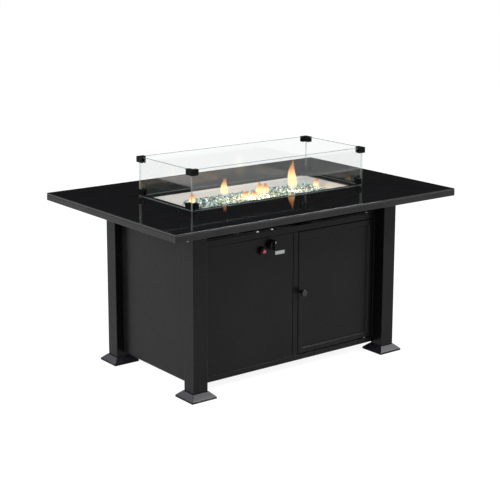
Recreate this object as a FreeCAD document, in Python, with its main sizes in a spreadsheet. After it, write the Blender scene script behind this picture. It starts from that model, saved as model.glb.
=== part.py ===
# Gas fire pit table: a rectangular glass top with a sunk burner pan and a glass wind guard,
# on a sheet-steel cabinet with four square posts, a fixed control panel and one hinged door.
# Millimetres. Origin on the floor under the table's centre, +Z up, the controls and the door
# face -Y, and the table is longest along X.
import FreeCAD, Part
import os
import re

import Sketcher

Vector = FreeCAD.Vector
Rotation = FreeCAD.Rotation

# Driving sizes, one spreadsheet cell each.
SIZES = {
    # tabletop glass
    "table_length": 1252,
    "table_width": 828,
    "table_height": 630,
    "glass_thickness": 6,
    "glass_round": 1.5,
    "glass_corner": 4,
    "cutout_end_margin": 265,
    "cutout_width": 280,
    "cutout_corner": 20,
    # steel rim under the glass
    "rim_height": 21,
    "rim_width": 25,
    "rim_wall": 1.5,
    # how far the glass stands out over the posts, and the open gap between rim and cabinet
    "end_overhang": 164.5,
    "front_overhang": 140,
    "vent_height": 65,
    # posts and feet
    "post_side": 58,
    "post_wall": 1.5,
    "post_round": 2,
    "foot_base": 103,
    "foot_top": 66,
    "foot_height": 24,
    "foot_wall": 4,
    "foot_plug": 20,
    "pad_thickness": 3,
    "pad_margin": 0.5,
    "fit_clearance": 0.3,
    # bearers between the rim and the posts
    "bearer_width": 58,
    "bearer_wall": 2,
    "spigot_length": 60,
    "pan_bearer_width": 20,
    "pan_bearer_gap": 3,
    # sheet panels, rails, mullion and jamb
    "front_inset": 44,
    "side_inset": 28,
    "panel_sheet": 1.2,
    "panel_bottom": 39,
    "flange_depth": 22,
    "front_flange": 14,
    "front_panel_width": 409,
    "mullion_width": 22,
    "jamb_width": 10,
    "top_rail_height": 23,
    "bottom_rail_low": 35,
    "bottom_rail_height": 19,
    "rail_wall": 1.5,
    # cabinet floor and the ring that holds a gas bottle's foot
    "shelf_thickness": 2,
    "shelf_gap": 2,
    "ring_from_panel": 218.5,
    "ring_radius": 106,
    "ring_wall": 2,
    "ring_height": 20,
    # burner pan
    "pan_sheet": 1.5,
    "pan_flange": 20,
    "pan_lip": 3,
    "pan_slope": 57,
    "pan_depth": 32,
    # burner
    "burner_x": 30,
    "burner_margin": 56,
    "burner_radius": 7.5,
    "burner_wall": 1.2,
    "burner_rise": 2,
    "boss_radius": 8,
    "boss_depth": 4,
    "port_radius": 1.2,
    "port_count": 20,
    "port_margin": 17,
    "mixer_radius": 9,
    "mixer_neck": 6,
    "mixer_bore": 4.2,
    "mixer_length": 43,
    "mixer_collar": 14,
    "mixer_collar_height": 3,
    "mixer_socket": 6,
    "air_hole_radius": 3,
    "air_hole_rise": 14,
    # electrode and thermocouple beside the burner
    "sensor_offset": 16,
    "sensor_spacing": 30,
    "sensor_height": 17,
    "sensor_tail": 14,
    "sensor_flange": 5,
    "sensor_flange_height": 1.5,
    "electrode_radius": 3,
    "electrode_ceramic": 10,
    "electrode_wire": 1,
    "thermocouple_radius": 2.5,
    # heap of fire glass in the pan
    "bed_clear_end": 45,
    "bed_edge": 14,
    "bed_crown": 5.5,
    "bed_crown_run": 36,
    "bed_gap": 0.4,
    # valve, its bracket, pipe and inlet
    "knob_from_post": 306.5,
    "knob_drop": 52,
    "bracket_width": 130,
    "bracket_sheet": 1.5,
    "bracket_setback": 16.5,
    "bracket_drop": 84,
    "bracket_screw_spacing": 64,
    "bracket_screw_shift": 25.5,
    "valve_width": 34,
    "valve_height": 36,
    "valve_depth": 34,
    "valve_neck_radius": 9,
    "valve_neck_length": 11.5,
    "valve_bore_depth": 10.5,
    "pipe_radius": 5,
    "pipe_wall": 1,
    "pipe_bend": 20,
    "pipe_insert": 5,
    "outlet_radius": 8,
    "outlet_length": 7,
    "inlet_thread_radius": 7.94,
    "inlet_thread_length": 14,
    "inlet_bore": 4,
    "inlet_hex_radius": 12,
    "inlet_hex_height": 8,
    # valve stem, collar and gas knob
    "stem_radius": 4,
    "stem_length": 44,
    "stem_shoulder": 5.5,
    "stem_shoulder_length": 1.6,
    "collar_radius": 6.9,
    "collar_length": 10,
    "running_clearance": 0.08,
    "knob_radius": 17.5,
    "knob_skirt": 18.2,
    "knob_skirt_length": 4,
    "knob_length": 20,
    "knob_standoff": 6,
    "knob_bore_depth": 14,
    "knob_round": 2,
    "knob_grip_width": 7,
    "knob_grip_depth": 8,
    "stem_hole_radius": 7,
    # igniter
    "igniter_from_post": 264.5,
    "igniter_drop": 68,
    "igniter_radius": 11,
    "igniter_length": 78,
    "igniter_bore": 7.4,
    "igniter_wall": 3,
    "bezel_radius": 14.5,
    "bezel_length": 14,
    "bezel_round": 2,
    "igniter_nut_radius": 16,
    "igniter_nut_height": 6,
    "button_radius": 7,
    "button_length": 12,
    "button_proud": 4,
    "button_round": 1.5,
    "battery_radius": 7.1,
    "battery_length": 50,
    "battery_nub": 2.7,
    "nub_length": 1.5,
    # blank plate beside the controls
    "plate_from_post": 346,
    "plate_drop": 85.7,
    "plate_length": 42,
    "plate_height": 13,
    "plate_thickness": 1,
    # screws of the frame
    "screw_radius": 3,
    "screw_head": 5.2,
    "screw_head_height": 2.6,
    "screw_length": 28,
    "screw_clearance": 0.25,
    "post_screw_drop": 46,
    "rail_screw_setback": 5.5,
    # door
    "door_gap_left": 2.5,
    "door_gap_right": 4.5,
    "door_gap_low": 3,
    "door_gap_high": 1,
    "door_depth": 20,
    "door_border": 18,
    "door_top_border": 23,
    "door_recess": 6,
    "door_bend": 3,
    # pivots of the door
    "pivot_from_edge": 27,
    "pivot_radius": 3,
    "pivot_engage": 10,
    "pivot_grip": 12,
    "pivot_collar": 6,
    "pivot_seat": 0.3,
    "bush_wall": 2,
    "bush_collar": 2.5,
    "bush_collar_height": 1.5,
    "bush_barrel": 6,
    # door knob, its screw, strike plate and magnet catch
    "door_knob_rise": 235,
    "door_knob_in": 8.5,
    "door_knob_radius": 13,
    "door_knob_stem": 6,
    "door_knob_length": 27,
    "door_knob_head": 11,
    "door_knob_round": 4,
    "knob_screw_radius": 2,
    "knob_screw_head": 4,
    "knob_screw_head_height": 2.4,
    "knob_screw_engage": 14,
    "strike_rise": 328,
    "strike_height": 30,
    "strike_width": 15,
    "strike_sheet": 1.5,
    "catch_gap": 0.3,
    "catch_depth": 18,
    "catch_plate": 2,
    "catch_plate_width": 18,
    # glass wind guard
    "guard_end_margin": 27.4,
    "guard_depth": 331.5,
    "guard_height": 144,
    "guard_glass": 5,
    "guard_corner_gap": 1,
    "guard_lift": 0.3,
    "clip_grip": 6,
    "clip_arm": 30,
    "clip_side_arm": 36,
    "clip_height": 21.5,
    "clip_cap": 1.2,
    "low_clip_length": 16,
    "low_clip_side_length": 26,
    "low_clip_height": 21,
    "low_clip_rise": 6,
    "low_clip_offset": 8,
}

# Places and lengths worked out from the sizes.
PLACES = {
    "half_length": "table_length / 2",
    "half_width": "table_width / 2",
    "cutout_length": "table_length - 2 * cutout_end_margin",
    "glass_under": "table_height - glass_thickness",
    "rim_under": "glass_under - rim_height",
    "post_outer_x": "half_length - end_overhang",
    "post_outer_y": "half_width - front_overhang",
    "cabinet_top": "rim_under - vent_height",
    "post_inner_x": "post_outer_x - post_side",
    "post_inner_y": "post_outer_y - post_side",
    "post_centre_x": "post_outer_x - post_side / 2",
    "post_centre_y": "post_outer_y - post_side / 2",
    "post_bore": "post_side / 2 - post_wall",
    "plug_half": "post_bore - fit_clearance",
    "screw_hole": "screw_radius + screw_clearance",
    "post_screw_z": "rim_under - post_screw_drop",
    "front_face": "post_outer_y - front_inset",
    "front_back": "front_face - flange_depth",
    "side_face": "post_outer_x - side_inset",
    "panel_right": "front_panel_width - post_inner_x",
    "mullion_right": "panel_right + mullion_width",
    "jamb_left": "post_inner_x - jamb_width",
    "top_rail_low": "cabinet_top - top_rail_height",
    "bottom_rail_top": "bottom_rail_low + bottom_rail_height",
    "shelf_low": "panel_bottom + panel_sheet",
    "shelf_top": "shelf_low + shelf_thickness",
    "ring_x": "side_face - ring_from_panel",
    "bearer_inner_x": "post_centre_x - bearer_width / 2",
    "bearer_end_y": "half_width - rim_width",
    "pan_floor": "glass_under - pan_depth",
    "pan_under": "pan_floor - pan_sheet",
    "mouth_x": "cutout_length / 2 - pan_lip",
    "mouth_y": "cutout_width / 2 - pan_lip",
    "floor_x": "mouth_x - pan_slope",
    "floor_y": "mouth_y - pan_slope",
    "burner_length": "2 * (floor_x - burner_margin)",
    "port_pitch": "(burner_length - 2 * port_margin) / (port_count - 1)",
    "bed_left": "floor_x - bed_clear_end",
    "pan_bearer_in": "cutout_width / 2 + pan_bearer_gap",
    "bed_run": "pan_slope * bed_edge / pan_depth",
    "bed_top": "pan_floor + bed_edge",
    "burner_z": "pan_floor + burner_rise + burner_radius",
    "boss_top": "burner_rise + boss_depth",
    "mixer_low": "pan_under - mixer_length",
    "electrode_x": "burner_x + sensor_spacing",
    "thermocouple_x": "burner_x + 2 * sensor_spacing",
    "sensor_top": "pan_floor + sensor_height",
    "knob_x": "knob_from_post - post_inner_x",
    "knob_z": "cabinet_top - knob_drop",
    "bracket_face": "front_face - bracket_setback",
    "rail_screw_y": "front_face - rail_screw_setback",
    "bracket_mid_x": "knob_x - bracket_screw_shift",
    "inlet_top": "knob_z - valve_height / 2",
    "inlet_bottom": "inlet_top - inlet_hex_height",
    "knob_base": "front_face + knob_standoff",
    "knob_tip": "knob_base + knob_length",
    "stem_tip": "knob_base + knob_bore_depth",
    "igniter_x": "igniter_from_post - post_inner_x",
    "igniter_z": "cabinet_top - igniter_drop",
    "plate_x": "plate_from_post - post_inner_x",
    "plate_z": "cabinet_top - plate_drop",
    "door_left": "mullion_right + door_gap_left",
    "door_right": "jamb_left - door_gap_right",
    "door_low": "bottom_rail_top + door_gap_low",
    "door_high": "top_rail_low - door_gap_high",
    "door_width": "door_right - door_left",
    "door_height": "door_high - door_low",
    "door_back": "front_face - door_depth",
    "pivot_x": "door_right - pivot_from_edge",
    "pivot_y": "front_face - door_depth / 2",
    "bush_bore": "pivot_radius + running_clearance",
    "bush_radius": "bush_bore + bush_wall",
    "door_knob_x": "door_left + door_knob_in",
    "door_knob_z": "door_low + door_knob_rise",
    "door_knob_tip": "front_face + door_knob_length",
    "strike_low": "door_low + strike_rise",
    "strike_high": "strike_low + strike_height",
    "catch_left": "door_left",
    "catch_right": "door_left + panel_sheet + strike_width",
    "guard_length": "cutout_length + 2 * guard_end_margin",
    "guard_x": "guard_length / 2",
    "guard_y": "guard_depth / 2",
    "guard_low": "table_height + guard_lift",
    "guard_top": "guard_low + guard_height",
    "low_clip_z": "guard_low + low_clip_rise",
}

CORNERS = {"front_left": (-1, -1), "front_right": (1, -1), "back_left": (-1, 1), "back_right": (1, 1)}

document = FreeCAD.newDocument("FirePitTable")
pieces = []
removals = []


def write_sheet():
    """Put every driving size in its own cell, with its name beside it."""
    sheet = document.addObject("Spreadsheet::Sheet", "Sizes")
    for row, (alias, value) in enumerate(SIZES.items(), 1):
        sheet.set(f"A{row}", alias)
        sheet.set(f"B{row}", str(value))
        sheet.setAlias(f"B{row}", alias)
    document.recompute()
    return sheet


def bound(text):
    """Turn words of SIZES and PLACES into an expression on the sheet's cells."""

    def cell(match):
        word = match.group()
        if word in PLACES:
            return f"({bound(PLACES[word])})"
        return f"Sizes.{word}" if word in SIZES else word

    return re.sub(r"[a-z]\w*", cell, str(text))


def number(text):
    """The present value of an expression, in millimetres."""
    return float(probe.evalExpression(bound(text)))


def bind(item, prop, text):
    """Bind one property to the sheet."""
    item.setExpression(prop, bound(text))


def place(item, x=0, y=0, z=0):
    """Bind an object's place to the sheet."""
    for axis, text in zip("xyz", (x, y, z)):
        bind(item, f"Placement.Base.{axis}", text)
    return item


def keep(item, node):
    """Name a finished sub-part, which is written to the file of that name."""
    item.Label = node
    pieces.append(item)
    return item


def mirrored(sign, near, far):
    """Low and high ends of a stretch that lies from near to far on one side of the centre."""
    return (f"-({far})", f"-({near})") if sign < 0 else (near, far)


def side_of(sign, text):
    """A place on the left or front (-1) or on the right or back (1) of the centre."""
    return f"{sign} * ({text})"


def block(name, x, y, z):
    """A box from its low and high ends along each axis."""
    item = document.addObject("Part::Box", name)
    for prop, (low, high) in zip(("Length", "Width", "Height"), (x, y, z)):
        bind(item, prop, f"({high}) - ({low})")
    return place(item, x[0], y[0], z[0])


TURNS = {
    "x": Rotation(Vector(0, 1, 0), 90),
    "y": Rotation(Vector(1, 0, 0), -90),
    "z": Rotation(),
}


def rod(name, axis, centre, span, radius):
    """A cylinder along an axis, between two places, centred on the other two coordinates."""
    item = document.addObject("Part::Cylinder", name)
    bind(item, "Radius", radius)
    bind(item, "Height", f"({span[1]}) - ({span[0]})")
    item.Placement = FreeCAD.Placement(Vector(), TURNS[axis])
    start = list(centre)
    start.insert("xyz".index(axis), span[0])
    return place(item, *start)


def hexagon(name, axis, centre, span, radius):
    """A six-sided prism along an axis; the radius runs to its corners."""
    item = document.addObject("Part::Prism", name)
    item.Polygon = 6
    bind(item, "Circumradius", radius)
    bind(item, "Height", f"({span[1]}) - ({span[0]})")
    item.Placement = FreeCAD.Placement(Vector(), TURNS[axis])
    start = list(centre)
    start.insert("xyz".index(axis), span[0])
    return place(item, *start)


def fuse(name, *items):
    """One solid from several that touch or overlap."""
    item = document.addObject("Part::MultiFuse", name)
    item.Shapes = list(items)
    item.Refine = True
    return item


def cut(name, base, *tools):
    """The base less all its tools."""
    item = document.addObject("Part::Cut", name)
    item.Base = base
    item.Tool = tools[0] if len(tools) == 1 else fuse(f"{name}_tools", *tools)
    removals.append((item, base))
    return item


def group(name, *items):
    """Separate solids kept as one sub-part."""
    item = document.addObject("Part::Compound", name)
    item.Links = list(items)
    return item


def new_body(name):
    """An empty body."""
    return document.addObject("PartDesign::Body", name)


def sketch_on(body, name, plane, offset=0):
    """A sketch on one of the body's own planes, moved along that plane's normal."""
    sketch = body.newObject("Sketcher::SketchObject", name)
    base = next(item for item in body.Origin.OriginFeatures if item.Role == plane)
    sketch.AttachmentSupport = [(base, "")]
    sketch.MapMode = "FlatFace"
    bind(sketch, "AttachmentOffset.Base.z", offset)
    return sketch


def dimension(sketch, kind, name, edge, point, text):
    """Hold one point of a sketch at a bound distance from the sketch's origin."""
    value = number(text)
    if abs(value) < 1e-9:
        axis = -2 if kind == "DistanceX" else -1
        sketch.addConstraint(Sketcher.Constraint("PointOnObject", edge, point, axis))
        return
    index = sketch.addConstraint(Sketcher.Constraint(kind, -1, 1, edge, point, value))
    sketch.renameConstraint(index, name)
    bind(sketch, f"Constraints.{name}", text)


def outline(sketch, points):
    """A closed outline of straight lines through bound points."""
    corners = [Vector(number(x), number(y), 0) for x, y in points]
    first = sketch.GeometryCount
    count = len(corners)
    for index, corner in enumerate(corners):
        sketch.addGeometry(Part.LineSegment(corner, corners[(index + 1) % count]), False)
    for index in range(count):
        after = first + (index + 1) % count
        sketch.addConstraint(Sketcher.Constraint("Coincident", first + index, 2, after, 1))
    for index, (x, y) in enumerate(points):
        edge = first + index
        dimension(sketch, "DistanceX", f"across_{edge}", edge, 1, x)
        dimension(sketch, "DistanceY", f"along_{edge}", edge, 1, y)
    return sketch


def rectangle(sketch, x, y):
    """A rectangle from its low and high ends."""
    return outline(sketch, [(x[0], y[0]), (x[1], y[0]), (x[1], y[1]), (x[0], y[1])])


def circle(sketch, x, y, radius):
    """A circle with a bound centre and radius."""
    edge = sketch.GeometryCount
    centre = Vector(number(x), number(y), 0)
    sketch.addGeometry(Part.Circle(centre, Vector(0, 0, 1), number(radius)), False)
    dimension(sketch, "DistanceX", f"across_{edge}", edge, 3, x)
    dimension(sketch, "DistanceY", f"along_{edge}", edge, 3, y)
    index = sketch.addConstraint(Sketcher.Constraint("Radius", edge, number(radius)))
    sketch.renameConstraint(index, f"radius_{edge}")
    bind(sketch, f"Constraints.radius_{edge}", radius)
    return sketch


def pad(body, name, sketch, length, reverse=False):
    """Material from a sketch along its normal, or against it."""
    item = body.newObject("PartDesign::Pad", name)
    item.Profile = sketch
    bind(item, "Length", length)
    item.Reversed = reverse
    body.Tip = item
    return item


def pocket(body, name, sketch, length=None, reverse=False):
    """A cut from a sketch against its normal, or along it; through everything by default."""
    base = body.Tip
    item = body.newObject("PartDesign::Pocket", name)
    item.Profile = sketch
    if length is None:
        item.Type = "ThroughAll"
    else:
        bind(item, "Length", length)
    item.Reversed = reverse
    body.Tip = item
    removals.append((item, base))
    return item


def loft(body, name, kind, low, high, low_z, high_z):
    """A rectangular frustum, added to the body or taken out of it."""
    base = body.Tip
    first = rectangle(sketch_on(body, f"{name}_low", "XY_Plane", low_z), *low)
    second = rectangle(sketch_on(body, f"{name}_high", "XY_Plane", high_z), *high)
    item = body.newObject(f"PartDesign::{kind}", name)
    item.Profile = first
    item.Sections = [second]
    item.Ruled = True
    body.Tip = item
    if kind == "SubtractiveLoft":
        removals.append((item, base))
    return item


def turned(name, axis, points):
    """A body turned about X, Y or Z; each point is its radius and its place on the axis."""
    body = new_body(name)
    plane = "XZ_Plane" if axis == "z" else "XY_Plane"
    if axis == "x":
        points = [(along, radius) for radius, along in points]
    sketch = outline(sketch_on(body, f"{name}_profile", plane), points)
    item = body.newObject("PartDesign::Revolution", f"{name}_turned")
    item.Profile = sketch
    item.ReferenceAxis = (sketch, ["H_Axis" if axis == "x" else "V_Axis"])
    item.Angle = 360
    body.Tip = item
    return body


def round_edges(body, name, radius, chosen):
    """Round the edges of the body that a test picks."""
    document.recompute()
    base = body.Tip
    edges = [f"Edge{index}" for index, edge in enumerate(base.Shape.Edges, 1) if chosen(edge)]
    item = body.newObject("PartDesign::Fillet", name)
    item.Base = (base, edges)
    bind(item, "Radius", radius)
    body.Tip = item
    return item


def upright(edge):
    """True for a straight edge that runs along Z."""
    ends = [vertex.Point for vertex in edge.Vertexes]
    return len(ends) == 2 and abs(ends[0].z - ends[1].z) > 0.99 * edge.Length > 0


def make_posts():
    """Four square tubes with rounded edges, each with a screw hole in its outer side."""
    for corner, (side, end) in CORNERS.items():
        name = f"post_{corner}"
        body = new_body(name)
        half = ("-post_side / 2", "post_side / 2")
        pad(body, f"{name}_bar", rectangle(sketch_on(body, f"{name}_outline", "XY_Plane"), half, half),
            "rim_under - foot_height")
        round_edges(body, f"{name}_rounding", "post_round", upright)
        bore = ("-(post_bore)", "post_bore")
        pocket(body, f"{name}_bore", rectangle(sketch_on(body, f"{name}_inside", "XY_Plane"), bore, bore),
               reverse=True)
        hole = circle(sketch_on(body, f"{name}_hole", "YZ_Plane"), "0", "post_screw_z - foot_height",
                      "screw_hole")
        pocket(body, f"{name}_screw_hole", hole, reverse=side > 0)
        place(body, side_of(side, "post_centre_x"), side_of(end, "post_centre_y"), "foot_height")
        keep(body, name)


def make_feet():
    """Four flared feet, each with a plug that goes up into its post, and their pads."""
    pads = []
    for corner, (side, end) in CORNERS.items():
        name = f"foot_{corner}"
        body = new_body(name)
        base = ("-foot_base / 2", "foot_base / 2")
        top = ("-foot_top / 2", "foot_top / 2")
        inner_base = ("-foot_base / 2 + foot_wall", "foot_base / 2 - foot_wall")
        inner_top = ("-foot_top / 2 + foot_wall", "foot_top / 2 - foot_wall")
        plug = ("-(plug_half)", "plug_half")
        height = "foot_height - pad_thickness"
        loft(body, f"{name}_flare", "AdditiveLoft", (base, base), (top, top), "0", height)
        loft(body, f"{name}_hollow", "SubtractiveLoft", (inner_base, inner_base), (inner_top, inner_top),
             "0", f"{height} - foot_wall")
        outline_of_plug = rectangle(sketch_on(body, f"{name}_plug_outline", "XY_Plane", height), plug, plug)
        pad(body, f"{name}_plug", outline_of_plug, "foot_plug")
        x = side_of(side, "post_centre_x")
        y = side_of(end, "post_centre_y")
        place(body, x, y, "pad_thickness")
        keep(body, name)
        half = "foot_base / 2 - pad_margin"
        pads.append(block(f"pad_{corner}", (f"{x} - ({half})", f"{x} + ({half})"),
                          (f"{y} - ({half})", f"{y} + ({half})"), ("0", "pad_thickness")))
    keep(group("foot_pads", *pads), "foot_pads")


def make_rim():
    """Four mitred tubes in a rectangle, flush with the glass that lies on them."""
    rails = {
        "front": ("half_length", 0, "0", "-(half_width)"),
        "back": ("half_length", 180, "0", "half_width"),
        "left": ("half_width", -90, "-(half_length)", "0"),
        "right": ("half_width", 90, "half_length", "0"),
    }
    for side, (half, turn, x, y) in rails.items():
        name = f"rim_rail_{side}"
        outer = mitred_bar(f"{name}_outer", half, "0", "0")
        inner = mitred_bar(f"{name}_inner", half, "rim_wall", "rim_wall")
        rail = cut(name, outer, inner)
        rail.Placement = FreeCAD.Placement(Vector(), Rotation(Vector(0, 0, 1), turn))
        place(rail, x, y, "rim_under")
        keep(rail, name)


def mitred_bar(name, half, inset, floor):
    """A bar along X whose ends are cut at 45 degrees; its outer side lies on the X axis."""
    bar = document.addObject("Part::Wedge", name)
    ends = {
        "Ymin": inset,
        "Ymax": f"rim_width - ({inset})",
        "Xmin": f"-({half}) + ({inset})",
        "Xmax": f"({half}) - ({inset})",
        "X2min": f"-({half}) + rim_width - ({inset})",
        "X2max": f"({half}) - rim_width + ({inset})",
        "Zmin": floor,
        "Z2min": floor,
        "Zmax": f"rim_height - ({floor})",
        "Z2max": f"rim_height - ({floor})",
    }
    for prop, text in ends.items():
        bind(bar, prop, text)
    return bar


def make_bearers():
    """Two tubes across the rim with spigots into the posts, and two that carry the pan."""
    for name, side in (("bearer_left", -1), ("bearer_right", 1)):
        across = mirrored(side, "bearer_inner_x", "bearer_inner_x + bearer_width")
        hollow = mirrored(side, "bearer_inner_x + bearer_wall", "bearer_inner_x + bearer_width - bearer_wall")
        along = ("-(bearer_end_y)", "bearer_end_y")
        solids = [block(f"{name}_bar", across, along, ("rim_under", "glass_under"))]
        hollows = [block(f"{name}_bore", hollow, along,
                         ("rim_under + bearer_wall", "glass_under - bearer_wall"))]
        for end, sign in (("front", -1), ("back", 1)):
            x = mirrored(side, "post_centre_x - plug_half", "post_centre_x + plug_half")
            y = mirrored(sign, "post_centre_y - plug_half", "post_centre_y + plug_half")
            inner_x = mirrored(side, "post_centre_x - plug_half + bearer_wall",
                               "post_centre_x + plug_half - bearer_wall")
            inner_y = mirrored(sign, "post_centre_y - plug_half + bearer_wall",
                               "post_centre_y + plug_half - bearer_wall")
            low = "rim_under - spigot_length"
            solids.append(block(f"{name}_{end}_spigot", x, y, (low, "rim_under + bearer_wall")))
            hollows.append(block(f"{name}_{end}_spigot_bore", inner_x, inner_y, (low, "rim_under")))
            hollows.append(rod(f"{name}_{end}_screw_hole", "x",
                               (side_of(sign, "post_centre_y"), "post_screw_z"),
                               mirrored(side, "post_centre_x", "post_outer_x"), "screw_hole"))
        keep(cut(name, fuse(f"{name}_solid", *solids), *hollows), name)
    for name, sign in (("pan_bearer_front", -1), ("pan_bearer_back", 1)):
        along = ("-(bearer_inner_x)", "bearer_inner_x")
        outer = block(f"{name}_bar", along, mirrored(sign, "pan_bearer_in",
                                                     "pan_bearer_in + pan_bearer_width"),
                      ("rim_under", "glass_under - pan_sheet"))
        inner = block(f"{name}_bore", along,
                      mirrored(sign, "pan_bearer_in + bearer_wall",
                               "pan_bearer_in + pan_bearer_width - bearer_wall"),
                      ("rim_under + bearer_wall", "glass_under - pan_sheet - bearer_wall"))
        keep(cut(name, outer, inner), name)


def make_tabletop():
    """The glass top: rounded corners, a rounded outer edge and a rectangular cut-out."""
    body = new_body("tabletop_glass")
    whole = rectangle(sketch_on(body, "glass_outline", "XY_Plane"),
                      ("-(half_length)", "half_length"), ("-(half_width)", "half_width"))
    pad(body, "glass_sheet", whole, "glass_thickness")
    hole = rectangle(sketch_on(body, "cutout_outline", "XY_Plane"),
                     ("-cutout_length / 2", "cutout_length / 2"), ("-cutout_width / 2", "cutout_width / 2"))
    pocket(body, "cutout", hole, reverse=True)
    limit = number("cutout_length / 2 + glass_corner")
    round_edges(body, "outer_corners", "glass_corner",
                lambda edge: upright(edge) and abs(edge.CenterOfMass.x) > limit)
    round_edges(body, "cutout_corners", "cutout_corner",
                lambda edge: upright(edge) and abs(edge.CenterOfMass.x) < limit
                and abs(abs(edge.CenterOfMass.x) - number("cutout_length / 2")) < 1e-6)
    inside_y = number("cutout_width / 2") + 1e-3
    round_edges(body, "edge_rounding", "glass_round",
                lambda edge: edge.BoundBox.ZLength < 1e-6
                and (abs(edge.CenterOfMass.x) > limit or abs(edge.CenterOfMass.y) > inside_y))
    place(body, z="glass_under")
    keep(body, "tabletop_glass")


def tray(name, span, heights, face, sign, across):
    """A folded sheet panel: its face outwards and a flange along each edge.

    span runs along the panel, face is its distance from the centre on the side given by sign,
    and across is the axis that it faces.
    """
    depth = mirrored(sign, f"{face} - flange_depth", face)
    inner_depth = mirrored(sign, f"{face} - flange_depth", f"{face} - panel_sheet")
    inner_span = (f"{span[0]} + panel_sheet", f"{span[1]} - panel_sheet")
    inner_heights = (f"{heights[0]} + panel_sheet", f"{heights[1]} - panel_sheet")
    if across == "y":
        outer = block(f"{name}_sheet", span, depth, heights)
        inner = block(f"{name}_inside", inner_span, inner_depth, inner_heights)
    else:
        outer = block(f"{name}_sheet", depth, span, heights)
        inner = block(f"{name}_inside", inner_depth, inner_span, inner_heights)
    return cut(name, outer, inner)


def make_side_and_back_panels():
    """Folded panels between the posts on the left, right and back."""
    heights = ("panel_bottom", "cabinet_top")
    for name, sign in (("side_panel_left", -1), ("side_panel_right", 1)):
        keep(tray(name, ("-(post_inner_y)", "post_inner_y"), heights, "side_face", sign, "x"), name)
    keep(tray("back_panel", ("-(post_inner_x)", "post_inner_x"), heights, "front_face", 1, "y"), "back_panel")


def make_front_panel():
    """The fixed panel left of the door, with holes for the igniter, the stem and its screws."""
    face = ("-(front_face)", "-(front_face) + front_flange")
    inside = ("-(front_face) + panel_sheet", "-(front_face) + front_flange")
    sheet = block("front_panel_sheet", ("-(post_inner_x)", "panel_right"), face,
                  ("bottom_rail_top", "top_rail_low"))
    hollow = block("front_panel_inside", ("-(post_inner_x) + panel_sheet", "panel_right - panel_sheet"),
                   inside,
                   ("bottom_rail_top + panel_sheet", "top_rail_low - panel_sheet"))
    through = ("-(front_face)", "-(front_face) + panel_sheet")
    igniter = rod("igniter_hole", "y", ("igniter_x", "igniter_z"), through, "igniter_radius + fit_clearance")
    stem = rod("stem_hole", "y", ("knob_x", "knob_z"), through, "stem_hole_radius")
    screws = [rod(f"panel_screw_hole_{index}", "z", (x, "-(rail_screw_y)"),
                  ("top_rail_low - panel_sheet", "top_rail_low"), "screw_hole")
              for index, x in enumerate(bracket_screws(), 1)]
    keep(cut("front_panel", sheet, hollow, igniter, stem, *screws), "front_panel")


def bracket_screws():
    """The places along X of the two screws that hold the valve's bracket."""
    return ("bracket_mid_x - bracket_screw_spacing / 2", "bracket_mid_x + bracket_screw_spacing / 2")


def make_front_rails():
    """The upper and lower rails across the front, and the mullion and jamb beside the door."""
    along = ("-(post_inner_x)", "post_inner_x")
    depth = ("-(front_face)", "-(front_back)")
    inner = ("-(front_face) + rail_wall", "-(front_back) - rail_wall")
    top = block("top_rail_bar", along, depth, ("top_rail_low", "cabinet_top"))
    top_bore = block("top_rail_bore", along, inner, ("top_rail_low + rail_wall", "cabinet_top - rail_wall"))
    holes = [rod(f"top_rail_hole_{index}", "z", (x, "-(rail_screw_y)"), ("top_rail_low", "cabinet_top"),
                 "screw_hole")
             for index, x in enumerate(bracket_screws(), 1)]
    pivot = rod("top_rail_pivot_hole", "z", ("pivot_x", "-(pivot_y)"), ("top_rail_low", "cabinet_top"),
                "pivot_radius + running_clearance")
    keep(cut("top_rail_front", top, top_bore, *holes, pivot), "top_rail_front")
    low = block("bottom_rail_bar", along, depth, ("bottom_rail_low", "bottom_rail_top"))
    low_bore = block("bottom_rail_bore", along, inner,
                     ("bottom_rail_low + rail_wall", "bottom_rail_top - rail_wall"))
    low_pivot = rod("bottom_rail_pivot_hole", "z", ("pivot_x", "-(pivot_y)"),
                    ("bottom_rail_top - rail_wall", "bottom_rail_top"), "pivot_radius + running_clearance")
    keep(cut("bottom_rail_front", low, low_bore, low_pivot), "bottom_rail_front")
    heights = ("bottom_rail_top", "top_rail_low")
    for name, left, right in (("door_mullion", "panel_right", "mullion_right"),
                              ("door_jamb", "jamb_left", "post_inner_x")):
        bar = block(f"{name}_bar", (left, right), depth, heights)
        bore = block(f"{name}_bore", (f"{left} + rail_wall", f"{right} - rail_wall"), inner, heights)
        keep(cut(name, bar, bore), name)


def make_shelf():
    """The cabinet's floor on the panels' lower flanges, and the ring that holds a bottle's foot."""
    shelf = block("base_shelf",
                  ("-(side_face) + panel_sheet + shelf_gap", "side_face - panel_sheet - shelf_gap"),
                  ("-(front_back)", "front_back - shelf_gap"), ("shelf_low", "shelf_top"))
    keep(shelf, "base_shelf")
    heights = ("shelf_top", "shelf_top + ring_height")
    outer = rod("tank_ring_outer", "z", ("ring_x", "0"), heights, "ring_radius + ring_wall")
    inner = rod("tank_ring_inner", "z", ("ring_x", "0"), heights, "ring_radius")
    keep(cut("tank_ring", outer, inner), "tank_ring")


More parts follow.
